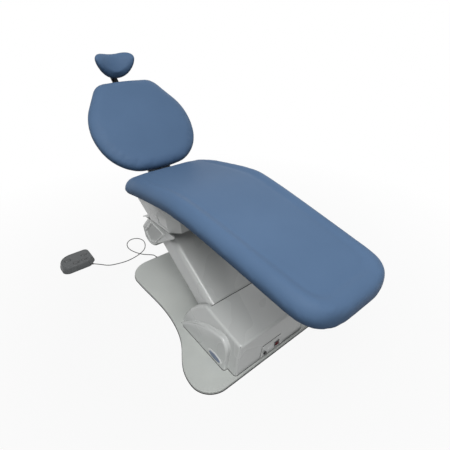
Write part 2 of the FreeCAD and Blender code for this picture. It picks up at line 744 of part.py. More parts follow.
def seat_frame():
    """Long rails under the board, cross tubes, and the drop plates of the parallelogram."""
    gap = BOARD_THICK + 1.0
    leg_rail = along_seat(gap, 24, LEG_STATIONS, SEAT_RAIL_IN, SEAT_RAIL_OUT)
    pan_rail = along_seat(gap, 42, PAN_STATIONS + (366.0,), SEAT_RAIL_IN, SEAT_RAIL_OUT)
    y, z = UPPER_PIVOT
    r = 32.0
    top = seat_under(y) - gap - 4
    drop = slab([(y - 70, top), (y - r, z), ((y, z - r), (y + r, z)), (y + 70, top - 12)], PLATE_IN, PLATE_OUT)
    outrigger = along_seat(gap, 42, (y - 60, y + 55), SEAT_RAIL_OUT, PLATE_IN)
    side = fuse(leg_rail, pan_rail, outrigger, drop)
    cross = [bar_across((place, seat_under(place) - gap - 22), 14, -SEAT_RAIL_OUT, SEAT_RAIL_OUT)
             for place in (20.0, HANGER_Y, 350.0)]
    cross += [bar_across((place, seat_under(place) - gap - 12), 9, -SEAT_RAIL_OUT, SEAT_RAIL_OUT)
              for place in (-590.0, -380.0, -170.0)]
    tie_y, tie_z = UPPER_TIE
    ear, other = ears([(tie_y, tie_z - 19), (264, tie_z - 17), (282, tie_z + 8), (282, 446), (264, 468),
                       (264, 585), (247, 585), (247, tie_z + 25), (tie_y + 12, tie_z + 19), (tie_y, tie_z + 19),
                       ((tie_y - 19, tie_z), (tie_y, tie_z - 19))], UPPER_TIE)
    hinge_y, hinge_z = BACK_HINGE
    lug = slab([(336, 560), (hinge_y, hinge_z - 18), ((hinge_y + 18, hinge_z), (hinge_y, hinge_z + 18)), (336, 582)],
               STRAP_HALF + 5, STRAP_HALF + 17)
    hanger = block(-16, 16, HANGER_Y - 9, HANGER_Y + 9, BACK_SCREW_Z + 21, seat_under(HANGER_Y) - gap - 20)
    frame = fuse(side, mirrored(side), ear, other, lug, mirrored(lug), hanger, *cross)
    frame = frame.cut(bar_across(UPPER_PIVOT, MAIN_PIN_R + RUN_FIT, -PLATE_OUT - 1, PLATE_OUT + 1))
    return frame.cut(bar_across(BACK_HINGE, SMALL_PIN_R + RUN_FIT, -PLATE_OUT, PLATE_OUT))


def parting(y):
    """Height of the line where the two shells under the seat meet."""
    share = (y - PARTING_FRONT[0]) / (PARTING_REAR[0] - PARTING_FRONT[0])
    return PARTING_FRONT[1] + share * (PARTING_REAR[1] - PARTING_FRONT[1])


def shell_rim(y):
    """Height of the tub's flat top rim, just under the cushion."""
    front, rear = -36.0, 362.0
    drop = (seat_under(front) - seat_under(rear)) / (rear - front)
    return seat_under(front) - 2.0 - drop * (y - front)


def shell_ring(inset):
    """Faceted tub between the parting line and the seat's underside."""
    low = [(148, 0), (SHELL_HALF, 42), (SHELL_HALF, 224), (164, 262)]
    top = [(176, -36), (SHELL_TOP_HALF, 30), (SHELL_TOP_HALF, 296), (188, 362)]
    rings = []
    for half, height in ((low, parting), (top, shell_rim)):
        corners = []
        for x, y in half:
            toward = inset if y < 100 else -inset
            corners.append((x - inset, y + toward, height(y + toward)))
        ring = corners + [(-x, y, z) for x, y, z in reversed(corners)]
        rings.append(joined([vector(*corner) for corner in ring]))
    return rings


def upper_shell():
    """Tub cover under the seat: sunk side panels, a rear fin, notches for the frame's rails."""
    outer = Part.makeLoft(shell_ring(0), True, True)
    inner = Part.makeLoft(shell_ring(WALL), True, True)
    fin_half = 198.0
    fin = slab([(250, parting(250)), (276, parting(276) + 1), (303, parting(303) - 12), (303, parting(303) - 6),
                (250, parting(250) + 8)], -fin_half, fin_half)
    sunk = Part.makeLoft(shell_ring(2.0), True, True)
    recess = pair(block(SHELL_HALF - 40, SHELL_TOP_HALF + 1, 54, 128, parting(54) + 16, parting(54) + 74)).cut(sunk)
    shell = fuse(outer.cut(recess), fin).cut(inner)
    notch = along_seat(2, 62, (-60.0, 0.0), SEAT_RAIL_IN - 3, SEAT_RAIL_OUT + 3)
    board = along_seat(-1, BOARD_THICK + 3, LEG_STATIONS[-2:] + PAN_STATIONS[1:] + (SEAT_REAR,),
                       -BOARD_HALF - 1, BOARD_HALF + 1)
    drive = block(-PLATE_IN - 6, PLATE_IN + 6, 258, SEAT_REAR, parting(250) + 1, seat_under(258))
    plates = block(-PLATE_OUT - 4, PLATE_OUT + 4, 240, 266, parting(262) - 10, parting(262) + 20)
    return shell.cut(notch).cut(mirrored(notch)).cut(board).cut(drive).cut(plates)


def knuckle_shell():
    """Lower cover round the arm's upper end: side walls with a beaded panel, heel and rear wall."""
    wall = 5.0
    gap = 2.5
    top_front = (2.0, parting(2.0) - gap)
    top_rear = (268.0, parting(268.0) - gap)
    form = slab([top_front, (2, 470), (214, 326), ((274, 298), (334, 324)), (354, 388), top_rear],
                -SHELL_HALF, SHELL_HALF)
    for corner, radius in (((214, 326), 30), ((334, 324), 12), ((354, 388), 14)):
        at = vector(0, *corner)
        form = rounded(form, radius, lambda edge: edge.CenterOfMass.distanceToPoint(at) < 1)
    form = rounded(form, 18.0, lambda edge: edge.BoundBox.XLength < 0.01 and edge.CenterOfMass.z < 470)
    inside = SHELL_HALF - wall
    hollow = slab([(-40, 560), (-40, 450), (228, 286), (228, 322), ((274, 298 + wall), (330, 328)),
                   (354 - wall, 387), (264, 474), (264, 560)], -inside, inside)
    bead = slab([(88, 459), (224, 473), (314, 382), (270, 324), (196, 352)], SHELL_HALF - 1, SHELL_HALF + 3)
    bead = rounded(bead, 3.0, lambda edge: edge.BoundBox.XMin > SHELL_HALF + 2.9)
    panel = slab([(114, 452), (217, 462), (299, 379), (265, 335), (205, 360)], SHELL_HALF - 1.5, SHELL_HALF + 4)
    return fuse(form, bead, mirrored(bead)).cut(hollow).cut(pair(panel))


def edge_drop(distance, radius):
    """How far a rounded edge falls below its face at a distance in from the rim."""
    if distance >= radius:
        return 0.0
    return radius - math.sqrt(radius ** 2 - (radius - distance) ** 2)


def seat_half(y):
    """Half-width of the seat: tapers to the foot, whose end is a squarish round; round rear corners."""
    half = SEAT_HALF - SEAT_TAPER * max(0.0, SEAT_TAPER_Y - y)
    from_foot = y - SEAT_FOOT
    if from_foot < FOOT_DEPTH:
        half *= (1 - (1 - from_foot / FOOT_DEPTH) ** FOOT_ROUND) ** (1 / FOOT_ROUND)
    return half - edge_drop(SEAT_REAR - y, REAR_CORNER_R)


def seat_section(y):
    """Section of the cushion: drawn-in sides, raised border and a shallow dish."""
    half = seat_half(y)
    reach = min(y - SEAT_FOOT, SEAT_REAR - y)
    top = seat_top(y) - edge_drop(reach, 34.0)
    low = seat_under(y) + edge_drop(reach, 26.0)
    high = top - low
    border = min(BORDER, 0.32 * half)
    dish = BORDER_RISE * min(1.0, reach / 60.0)
    tuck = 0.33 * border

    def at(x, z):
        return vector(x, y, z)

    def side(sign):
        sill = at(sign * (half - tuck), low)
        crest = at(sign * (half - 0.42 * border), top - 0.03 * high)
        valley = at(sign * (half - border), top - dish)
        return sill, at(sign * half, low + 0.48 * high), crest, at(sign * (half - 0.68 * border), top), valley

    sill, flank, crest, crown, valley = side(1)
    sill_l, flank_l, crest_l, crown_l, valley_l = side(-1)
    return joined([sill_l, sill, (flank, crest), (crown, valley), (at(0, top - 1.4 * dish), valley_l),
                   (crown_l, crest_l), (flank_l, sill_l)])


def seat_cushion():
    """One long cushion, lofted through sections from the foot to the rear edge."""
    foot = [SEAT_FOOT + FOOT_DEPTH * share for share in (0.004, 0.03, 0.08, 0.18, 0.34, 0.58, 0.8, 1.0)]
    body = [-590.0, -460.0, -330.0, -210.0, -109.0, -10.0, 90.0, 190.0]
    rear = [SEAT_REAR - distance for distance in (125.0, 80.0, 58.0, 36.0, 18.0, 7.0, 1.5)]
    sections = [seat_section(y) for y in foot + body + rear]
    return Part.makeLoft(sections, True, False)


def back_gearmotor():
    """Nut box of the backrest screw, hung from the frame, with its motor across the chair."""
    z = BACK_SCREW_Z
    box = block(-34, 34, 238, 314, z - 13, z + 21)
    motor = bar_across((278, z + 12), 24, -104, -34)
    return fuse(box, motor).cut(gearmotor_bore(z, 230, 320))


def back_hinge_pin():
    return bar_across(BACK_HINGE, SMALL_PIN_R, -STRAP_HALF - 20, STRAP_HALF + 20)


def back_screw():
    """Screw of the backrest drive, with a taller slot for the lever's larger swing."""
    z = BACK_SCREW_Z
    swing = BACK_LEVER * (1 - math.cos(math.radians(32.0)))
    low = BACK_HINGE[1] - BACK_LEVER - YOKE_PIN_R - 1
    fork = yoke(BACK_PIN, YOKE_PIN_R + 1.6, low, low + swing + 2 * YOKE_PIN_R + 2, -0.75)
    tail = BACK_PIN[0] - 0.75 - YOKE_STEM - 14
    return fuse(fork, bar_along(0, z, SCREW_R, tail - 116, tail))


# Backrest

def back_point(x, s, t):
    return vector(x, *back_place(s, t))


def layered(layers, outline):
    """Solid lofted through like outlines, each given as (distance from the plane, inset)."""
    return Part.makeLoft([joined(outline(t, inset)) for t, inset in layers], True, False)


def back_outline(t, inset):
    """Shield outline: rounded foot, full hips, straight taper to a narrow top."""
    i = inset
    right = [(134 - 0.6 * i, 16 + i), (238 - 0.8 * i, 86 + 0.7 * i), (289 - i, 198), (291 - i, 306),
             (252 - 0.9 * i, 408 - 0.4 * i), (194 - 0.8 * i, 498 - 0.5 * i), (168 - 0.75 * i, 527 - 0.8 * i),
             (133 - 0.5 * i, 543 - i)]
    foot, hip, waist, flank, shoulder, taper, corner, top = [back_point(x, s, t) for x, s in right]
    foot_l, hip_l, waist_l, flank_l, shoulder_l, taper_l, corner_l, top_l = [
        back_point(-x, s, t) for x, s in right]
    return [foot_l, (back_point(0, 5 + i, t), foot), (hip, waist), (flank, shoulder), taper, (corner, top),
            (back_point(0, 549 - i, t), top_l), (corner_l, taper_l), shoulder_l, (flank_l, waist_l),
            (hip_l, foot_l)]


def back_cushion():
    """Crowned pad: sides drawn in at the shell, face rising to the middle."""
    layers = [(0, 14), (12, 4), (26, 0), (42, 4), (53, 14), (60, 28), (63, 44), (BACK_THICK, 60)]
    return layered([(BACK_CUSHION_T + t, inset) for t, inset in layers], back_outline)


def back_shell():
    """Moulded rear cover of the backrest, shallow and rounded."""
    return layered([(0, 46), (6, 26), (12, 18), (BACK_CUSHION_T - 0.5, 14)], back_outline)


def back_bracket():
    """Hinge strap: barrel, cranked plate up the back, and the lever of the drive."""
    barrel = bar_across(BACK_HINGE, 20, -STRAP_HALF, STRAP_HALF)
    y, z = BACK_HINGE
    strap = slab([(y - 12, z + 8), back_place(-18, 0), back_place(296, 0), back_place(296, -12),
                  back_place(-12, -12), (y + 16, z)], -STRAP_HALF, STRAP_HALF)
    turn = -math.pi / 2 + BACK_LEVER_TURN
    side = (-math.sin(turn), math.cos(turn))
    tip = 14.0

    def lever_place(radius, offset):
        py, pz = polar(BACK_HINGE, radius, turn)
        return (py + offset * side[0], pz + offset * side[1])

    lever = slab([lever_place(0, -19), lever_place(0, 19), lever_place(BACK_LEVER, tip),
                  (lever_place(BACK_LEVER + tip, 0), lever_place(BACK_LEVER, -tip))], -YOKE_IN + 2, YOKE_IN - 2)
    bracket = fuse(barrel, strap, lever)
    bracket = bracket.cut(bar_across(BACK_HINGE, SMALL_PIN_R + RUN_FIT, -STRAP_HALF - 1, STRAP_HALF + 1))
    return bracket.cut(bar_across(BACK_PIN, YOKE_PIN_R, -YOKE_IN, YOKE_IN))


def lever_pin():
    return bar_across(BACK_PIN, YOKE_PIN_R, -YOKE_OUT - 3, YOKE_OUT + 3)


def back_box(half, s0, s1, t0, t1):
    """Bar that lies along the backrest's plane."""
    return slab([back_place(s0, t0), back_place(s1, t0), back_place(s1, t1), back_place(s0, t1)], -half, half)


def headrest_guide():
    """Channel behind the backrest in which the headrest's bar slides."""
    fit = 0.3
    body = back_box(BAR_HALF + 9, 336, 476, BAR_T[0] - 5, 0)
    return body.cut(back_box(BAR_HALF + fit, 330, 480, BAR_T[0] - fit, BAR_T[1] + fit))


def headrest_bar():
    """Flat bar, cranked back behind the headrest, with a hinge barrel at its top."""
    barrel_half = 18.0
    level = 10.0
    start, bend, knee = BAR_S
    end, drop = HEAD_HINGE
    low, high = BAR_T
    thick = high - low
    inner = drop + thick / 2
    outer = drop - thick / 2
    crank = slab([back_place(start, low), back_place(start, high), back_place(bend, high),
                  back_place(knee - level, inner), back_place(knee, inner), back_place(knee, outer),
                  back_place(knee - level - 2, outer), back_place(bend - 2, low)], -BAR_HALF, BAR_HALF)
    neck = slab([back_place(knee - 6, outer), back_place(knee - 6, inner), back_place(end, inner),
                 back_place(end, outer)], -barrel_half, barrel_half)
    barrel = bar_across(back_place(*HEAD_HINGE), 12, -barrel_half, barrel_half)
    whole = fuse(crank, neck, barrel)
    return whole.cut(bar_across(back_place(*HEAD_HINGE), 5 + RUN_FIT, -barrel_half - 1, barrel_half + 1))


def headrest_pin():
    return bar_across(back_place(*HEAD_HINGE), 5, -32, 46)


def headrest_plate():
    """Plate behind the headrest with two hinge ears."""
    ear = slab([head_place(-11, 0), (head_place(0, -11), head_place(11, 0)), head_place(16, 24), head_place(-16, 24)],
               19, 29)
    plate = slab([head_place(-22, 24), head_place(62, 24), head_place(62, 28), head_place(-22, 28)], -29, 29)
    whole = fuse(plate, ear, mirrored(ear))
    return whole.cut(bar_across(back_place(*HEAD_HINGE), 5 + RUN_FIT, -40, 40))


def head_heights(x):
    """Lowest and highest place of the headrest's outline at a distance from its middle."""
    share = min(1.0, abs(x) / HEAD_HALF)
    lobe = HEAD_LOBE * min(1.0, (x / HEAD_LOBE_X) ** 2)
    high = HEAD_TIP + (HEAD_DIP - HEAD_TIP + lobe) * math.sqrt(1 - share ** 2.7)
    low = HEAD_TIP - (HEAD_TIP - HEAD_CHIN) * (1 - share ** 2.5) ** 0.7
    return HEAD_CENTRE + low, HEAD_CENTRE + high


def head_faces(x):
    """Rear and front face of the headrest's pad: it thins to the wings, which come forward."""
    share = min(1.0, abs(x) / HEAD_HALF)
    middle = HEAD_MIDDLE + HEAD_BEND * share ** 2
    half = HEAD_THICK / 2 * math.sqrt(1 - share ** 6)
    return middle - half, middle + half


def head_stations(reach):
    half = [reach * share for share in (0.24, 0.48, 0.68, 0.83, 0.93, 0.985)]
    return [-x for x in reversed(half)] + [0.0] + half


def headrest_shell():
    """Moulded rear cover, curved with the pad, with a flat seat for its plate."""
    thick = 9.0
    rim = 22.0
    sections = []
    for x in head_stations(88.0):
        low, high = head_heights(x)
        rear, front = head_faces(x)
        places = [(low + rim, rear - 1), (high - rim, rear - 1), (high - rim - 8, rear - 1 - thick),
                  (low + rim + 8, rear - 1 - thick)]
        sections.append(joined([vector(x, *head_place(s, t)) for s, t in places]))
    seat = slab([head_place(-14, 28), head_place(54, 28), head_place(54, 34), head_place(-14, 34)], -40, 40)
    return fuse(Part.makeLoft(sections, True, False), seat)


def headrest_cushion():
    """Curved pad, lofted across the headrest through rounded sections."""
    sections = []
    crown = 3.0
    for x in head_stations(HEAD_HALF):
        low, high = head_heights(x)
        rear, front = head_faces(x)
        r = 0.48 * min(high - low, front - rear)
        middle = (rear + front) / 2

        def at(s, t):
            return vector(x, *head_place(s, t))

        sections.append(joined([at(low + r, rear), at(high - r, rear), (at(high, middle), at(high - r, front)),
                                (at((low + high) / 2, front + crown), at(low + r, front)),
                                (at(low, middle), at(low + r, rear))]))
    return Part.makeLoft(sections, True, False)


def headrest_lever():
    """Lock lever on the end of the headrest's pin."""
    hinge = back_place(*HEAD_HINGE)
    hub = bar_across(hinge, 11, 31, 43)
    arm = slab([head_place(-7, -4), head_place(7, -4), head_place(5, -54), (head_place(0, -59), head_place(-5, -54))],
               33, 41)
    return fuse(hub, arm).cut(bar_across(hinge, 5 + RUN_FIT, 30, 48))


PIECES = {
    "base_plate": base_plate,
    "base_gasket": base_gasket,
    "base_housing": base_housing,
    "front_panel": front_panel,
    "panel_cap": panel_cap,
    "fuse_holder": fuse_holder,
    "fuse_cap": fuse_cap,
    "rocker_frame": rocker_frame,
    "power_rocker": power_rocker,
    "pivot_bracket_left": pivot_bracket,
    "pivot_bracket_right": lambda: mirrored(pivot_bracket()),
    "lower_arm_pin": lambda: main_pin(LOWER_PIVOT),
    "tie_anchor": tie_anchor,
    "lower_tie_pin": lambda: tie_pin(LOWER_TIE),
    "lift_gearmotor": lift_gearmotor,
    "control_box": control_box,
    "cord_gland": cord_gland,
    "pedal_cord": pedal_cord,
    "pedal_relief": pedal_relief,
    "pedal_base": pedal_base,
    "pedal_sole": pedal_sole,
    "pedal_cover": pedal_cover,
    "arm_frame": arm_frame,
    "arm_bushes": arm_bushes,
    "horn_pin": horn_pin,
    "arm_cover": arm_cover,
    "arm_back_cover": arm_back_cover,
    "tie_rod": tie_rod,
    "lift_screw": lift_screw,
    "seat_frame": seat_frame,
    "seat_board": seat_board,
    "upper_arm_pin": lambda: main_pin(UPPER_PIVOT),
    "upper_tie_pin": lambda: tie_pin(UPPER_TIE),
    "back_hinge_pin": back_hinge_pin,
    "upper_shell": upper_shell,
    "knuckle_shell": knuckle_shell,
    "seat_cushion": seat_cushion,
    "back_gearmotor": back_gearmotor,
    "back_screw": back_screw,
    "back_bracket": back_bracket,
    "lever_pin": lever_pin,
    "back_shell": back_shell,
    "back_cushion": back_cushion,
    "headrest_guide": headrest_guide,
    "headrest_bar": headrest_bar,
    "headrest_pin": headrest_pin,
    "headrest_plate": headrest_plate,
    "headrest_shell": headrest_shell,
    "headrest_cushion": headrest_cushion,
    "headrest_lever": headrest_lever,
}

os.makedirs("parts", exist_ok=True)
for name, make in PIECES.items():
    make().exportStep("parts/" + name + ".step")
for name, place in PEDAL_BUTTONS.items():
    pedal_button(place).exportStep("parts/pedal_button_" + name + ".step")
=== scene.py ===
import bpy
import bmesh
import math
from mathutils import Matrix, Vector


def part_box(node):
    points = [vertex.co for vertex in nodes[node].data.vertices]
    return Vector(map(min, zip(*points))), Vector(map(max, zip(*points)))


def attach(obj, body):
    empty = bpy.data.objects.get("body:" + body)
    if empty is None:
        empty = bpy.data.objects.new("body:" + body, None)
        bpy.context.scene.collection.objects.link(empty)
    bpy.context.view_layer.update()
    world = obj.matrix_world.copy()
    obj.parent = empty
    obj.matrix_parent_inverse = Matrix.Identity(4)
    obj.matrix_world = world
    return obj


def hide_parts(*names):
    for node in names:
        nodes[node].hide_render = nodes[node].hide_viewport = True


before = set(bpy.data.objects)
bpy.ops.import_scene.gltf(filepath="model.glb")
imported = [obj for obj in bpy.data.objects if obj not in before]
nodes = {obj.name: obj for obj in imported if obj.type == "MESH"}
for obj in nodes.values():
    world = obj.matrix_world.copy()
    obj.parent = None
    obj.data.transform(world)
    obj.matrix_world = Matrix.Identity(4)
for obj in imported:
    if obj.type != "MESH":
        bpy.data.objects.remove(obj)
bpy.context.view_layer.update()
scene = bpy.context.scene

# Studio: a pale seamless floor that fades to white, broad soft lamps above and a weak fill.
# The camera stands at the patient's right, ahead of the foot end, looking down on the chair.
camera_data = bpy.data.cameras.new("camera")
camera_data.sensor_width = 36.0
camera_data.lens = 26.8
camera = bpy.data.objects.new("camera", camera_data)
camera.location = (-0.8239, -1.1676, 1.365)
camera.rotation_euler = (math.radians(90 - 31.71), 0, math.radians(-38.84))
scene.collection.objects.link(camera)
scene.camera = camera

floor_mesh = bpy.data.meshes.new("floor")
floor_reach = 60.0
floor_mesh.from_pydata([(-floor_reach, -floor_reach, 0), (floor_reach, -floor_reach, 0),
                        (floor_reach, floor_reach, 0), (-floor_reach, floor_reach, 0)], [], [(0, 1, 2, 3)])
floor = bpy.data.objects.new("floor", floor_mesh)
scene.collection.objects.link(floor)


def shader(name):
    """New node material, its tree and its Principled BSDF."""
    material = bpy.data.materials.new(name)
    material.use_nodes = True
    tree = material.node_tree
    return material, tree, tree.nodes["Principled BSDF"]


def math_node(tree, operation, first, second):
    """Math node between two sockets or numbers; returns its result."""
    node = tree.nodes.new("ShaderNodeMath")
    node.operation = operation
    for socket, value in zip(node.inputs, (first, second)):
        if isinstance(value, (int, float)):
            socket.default_value = value
        else:
            tree.links.new(value, socket)
    return node.outputs[0]


def background_factor(tree):
    """1 for rays from the camera, mirrors and glass; 0 for the rays that light the object."""
    path = tree.nodes.new("ShaderNodeLightPath")
    seen = math_node(tree, "MAXIMUM", path.outputs["Is Camera Ray"], path.outputs["Is Glossy Ray"])
    return math_node(tree, "MAXIMUM", seen, path.outputs["Is Transmission Ray"])


floor_material, tree, principled = shader("floor")
principled.inputs["Base Color"].default_value = (0.22, 0.22, 0.22, 1)
principled.inputs["Roughness"].default_value = 0.9
principled.inputs["Specular IOR Level"].default_value = 0.0
glow = tree.nodes.new("ShaderNodeEmission")
place = tree.nodes.new("ShaderNodeTexCoord")
away = tree.nodes.new("ShaderNodeVectorMath")
away.operation = "LENGTH"
tree.links.new(place.outputs["Object"], away.inputs[0])
fade = tree.nodes.new("ShaderNodeMapRange")
fade.inputs["From Min"].default_value = 0.7
fade.inputs["From Max"].default_value = 2.4
fade.inputs["To Min"].default_value = 0.93
tree.links.new(away.outputs["Value"], fade.inputs["Value"])
mix = tree.nodes.new("ShaderNodeMixShader")
tree.links.new(math_node(tree, "MULTIPLY", background_factor(tree), fade.outputs["Result"]), mix.inputs["Fac"])
tree.links.new(principled.outputs["BSDF"], mix.inputs[1])
tree.links.new(glow.outputs["Emission"], mix.inputs[2])
tree.links.new(mix.outputs["Shader"], tree.nodes["Material Output"].inputs["Surface"])
floor_mesh.materials.append(floor_material)

world = bpy.data.worlds.new("sky")
world.use_nodes = True
scene.world = world
sky = world.node_tree
ambient = sky.nodes["Background"]
ambient.inputs["Color"].default_value = (0.95, 0.97, 1.0, 1)
ambient.inputs["Strength"].default_value = 0.24
white = sky.nodes.new("ShaderNodeBackground")
white.inputs["Color"].default_value = (1, 1, 1, 1)
blend_sky = sky.nodes.new("ShaderNodeMixShader")
sky.links.new(background_factor(sky), blend_sky.inputs["Fac"])
sky.links.new(ambient.outputs["Background"], blend_sky.inputs[1])
sky.links.new(white.outputs["Background"], blend_sky.inputs[2])
sky.links.new(blend_sky.outputs["Shader"], sky.nodes["World Output"].inputs["Surface"])

for name, spot, aim, size, watts in (
        ("key", (-1.1, -1.3, 3.4), (0, 0, 0.5), 2.2, 104.0),
        ("fill", (-1.9, -2.9, 1.2), (0, -0.3, 0.2), 1.6, 7.0),
        ("rim", (2.4, 1.4, 2.4), (0, 0.2, 0.6), 1.8, 12.0)):
    lamp = bpy.data.lights.new(name, "AREA")
    lamp.size = size
    lamp.energy = watts
    holder = bpy.data.objects.new(name, lamp)
    holder.location = spot
    holder.rotation_euler = (Vector(aim) - Vector(spot)).to_track_quat("-Z", "Y").to_euler()
    scene.collection.objects.link(holder)

scene.view_settings.view_transform = "Standard"

# Floor plate: hourglass of steel plate with bevelled edges, powder coated light grey, fine orange peel.
# It lies on a sheet of black ribbed rubber that keeps it from sliding.


def pattern_group(name, inputs, outputs):
    """Shader group of varying values, with named float sockets; returns it and its two end nodes."""
    group = bpy.data.node_groups.new(name, "ShaderNodeTree")
    for label, value in inputs:
        socket = group.interface.new_socket(label, in_out="INPUT", socket_type="NodeSocketFloat")
        socket.default_value = value
    for label in outputs:
        group.interface.new_socket(label, in_out="OUTPUT", socket_type="NodeSocketFloat")
    return group, group.nodes.new("NodeGroupInput"), group.nodes.new("NodeGroupOutput")


def noise(tree, vector, scale, detail):
    """Noise texture on a vector socket; the scale is a number or a socket."""
    node = tree.nodes.new("ShaderNodeTexNoise")
    node.inputs["Detail"].default_value = detail
    tree.links.new(vector, node.inputs["Vector"])
    if isinstance(scale, (int, float)):
        node.inputs["Scale"].default_value = scale
    else:
        tree.links.new(scale, node.inputs["Scale"])
    return node.outputs[0]


def stretch(tree, value, low, high):
    """Spread the part of a value between two levels over 0 to 1."""
    node = tree.nodes.new("ShaderNodeMapRange")
    node.inputs["From Min"].default_value = low
    node.inputs["From Max"].default_value = high
    tree.links.new(value, node.inputs["Value"])
    return node.outputs["Result"]


coat_peel, entry, leave = pattern_group("coat_peel", [("Grain", 900.0), ("Patch", 4.0)], ["Height", "Tone"])
where = coat_peel.nodes.new("ShaderNodeTexCoord").outputs["Object"]
fine = noise(coat_peel, where, entry.outputs["Grain"], 3.0)
patches = stretch(coat_peel, noise(coat_peel, where, entry.outputs["Patch"], 4.0), 0.32, 0.68)
coat_peel.links.new(fine, leave.inputs["Height"])
coat_peel.links.new(patches, leave.inputs["Tone"])


def finish(name, pattern, dark, light, rough, bump, values=()):
    """Material whose pattern group varies colour and roughness and raises the surface."""
    material, tree, principled = shader(name)
    marks = tree.nodes.new("ShaderNodeGroup")
    marks.node_tree = pattern
    for label, value in values:
        marks.inputs[label].default_value = value
    blend = tree.nodes.new("ShaderNodeMix")
    blend.data_type = "RGBA"
    blend.inputs[6].default_value = (*dark, 1)
    blend.inputs[7].default_value = (*light, 1)
    tree.links.new(marks.outputs["Tone"], blend.inputs[0])
    tree.links.new(blend.outputs[2], principled.inputs["Base Color"])
    shine = tree.nodes.new("ShaderNodeMapRange")
    shine.inputs["To Min"].default_value, shine.inputs["To Max"].default_value = rough
    tree.links.new(marks.outputs["Tone"], shine.inputs["Value"])
    tree.links.new(shine.outputs["Result"], principled.inputs["Roughness"])
    raised = tree.nodes.new("ShaderNodeBump")
    raised.inputs["Strength"].default_value = bump
    raised.inputs["Distance"].default_value = 0.0005
    tree.links.new(marks.outputs["Height"], raised.inputs["Height"])
    tree.links.new(raised.outputs["Normal"], principled.inputs["Normal"])
    return material


def constant(material, **values):
    """Set constants on a material's Principled BSDF; an underscore stands for a space in a socket's name."""
    sockets = material.node_tree.nodes["Principled BSDF"].inputs
    for label, value in values.items():
        sockets[label.replace("_", " ")].default_value = value


def dress(material, *names):
    """Give CAD nodes a material in place of their plain colour."""
    for name in names:
        nodes[name].data.materials.clear()
        nodes[name].data.materials.append(material)


plate_paint = finish("plate_paint", coat_peel, dark=(0.465, 0.485, 0.465), light=(0.52, 0.54, 0.515),
                     rough=(0.32, 0.42), bump=0.10)
dress(plate_paint, "base_plate")
rubber = finish("black_rubber", coat_peel, dark=(0.012, 0.012, 0.013), light=(0.03, 0.03, 0.03),
                rough=(0.62, 0.8), bump=0.35, values=[("Grain", 1500.0), ("Patch", 14.0)])
dress(rubber, "base_gasket")

# Housing: one large moulding in light grey plastic, satin with a fine spark grain and drafted walls.
# It stands over the foot of the lift, with a rubber seal round its lower edge against the plate
# and a rubber wiper on the edge of the slot that the arm moves in.
mould_grain, entry, leave = pattern_group("mould_grain", [("Grain", 1300.0), ("Patch", 5.0)], ["Height", "Tone"])
where = mould_grain.nodes.new("ShaderNodeTexCoord").outputs["Object"]
pits = mould_grain.nodes.new("ShaderNodeTexVoronoi")
mould_grain.links.new(where, pits.inputs["Vector"])
mould_grain.links.new(entry.outputs["Grain"], pits.inputs["Scale"])
fine = noise(mould_grain, where, entry.outputs["Grain"], 2.0)
mould_grain.links.new(math_node(mould_grain, "MULTIPLY", pits.outputs["Distance"], fine), leave.inputs["Height"])
clouds = noise(mould_grain, where, entry.outputs["Patch"], 1.0)
mould_grain.links.new(stretch(mould_grain, clouds, 0.34, 0.66), leave.inputs["Tone"])

cover_plastic = finish("cover_plastic", mould_grain, dark=(0.548, 0.563, 0.552), light=(0.572, 0.587, 0.574),
                       rough=(0.25, 0.31), bump=0.10)
constant(cover_plastic, Coat_Weight=0.35, Coat_Roughness=0.09)
dress(cover_plastic, "base_housing")


def bead(name, body, points, radius, material, closed=False):
    """Round strip along straight runs, made into a plain mesh."""
    curve = bpy.data.curves.new(name, "CURVE")
    curve.dimensions = "3D"
    line = curve.splines.new("POLY")
    line.points.add(len(points) - 1)
    for point, spot in zip(line.points, points):
        point.co = (*spot, 1)
    line.use_cyclic_u = closed
    curve.bevel_depth = radius
    curve.bevel_resolution = 3
    curve.use_fill_caps = not closed
    holder = bpy.data.objects.new(name + "_path", curve)
    scene.collection.objects.link(holder)
    mesh = bpy.data.meshes.new_from_object(holder.evaluated_get(bpy.context.evaluated_depsgraph_get()))
    bpy.data.objects.remove(holder)
    return piece(name, body, mesh, material)


def piece(name, body, mesh, material):
    """Object for a finished mesh, riding on its body, with its material."""
    mesh.name = name
    mesh.materials.clear()
    mesh.materials.append(material)
    mesh.shade_smooth()
    thing = bpy.data.objects.new(name, mesh)
    scene.collection.objects.link(thing)
    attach(thing, body)
    return thing


def rounded_run(corners, closed=False):
    """Points along straight runs with a quarter round of six steps at each (x, y, radius) corner."""
    count = len(corners)
    points = []
    for index, (x, y, radius) in enumerate(corners):
        here = Vector((x, y))
        if not closed and index in (0, count - 1):
            points.append(here)
            continue
        back = (Vector(corners[index - 1][:2]) - here).normalized()
        ahead = (Vector(corners[(index + 1) % count][:2]) - here).normalized()
        half = back.angle(ahead) / 2
        middle = here + (back + ahead).normalized() * (radius / math.sin(half))
        start = here + back * (radius / math.tan(half)) - middle
        turn = math.pi - 2 * half
        side = 1 if back.cross(ahead) < 0 else -1
        for step in range(7):
            angle = side * turn * step / 6
            points.append(middle + Vector((start.x * math.cos(angle) - start.y * math.sin(angle),
                                           start.x * math.sin(angle) + start.y * math.cos(angle))))
    return points


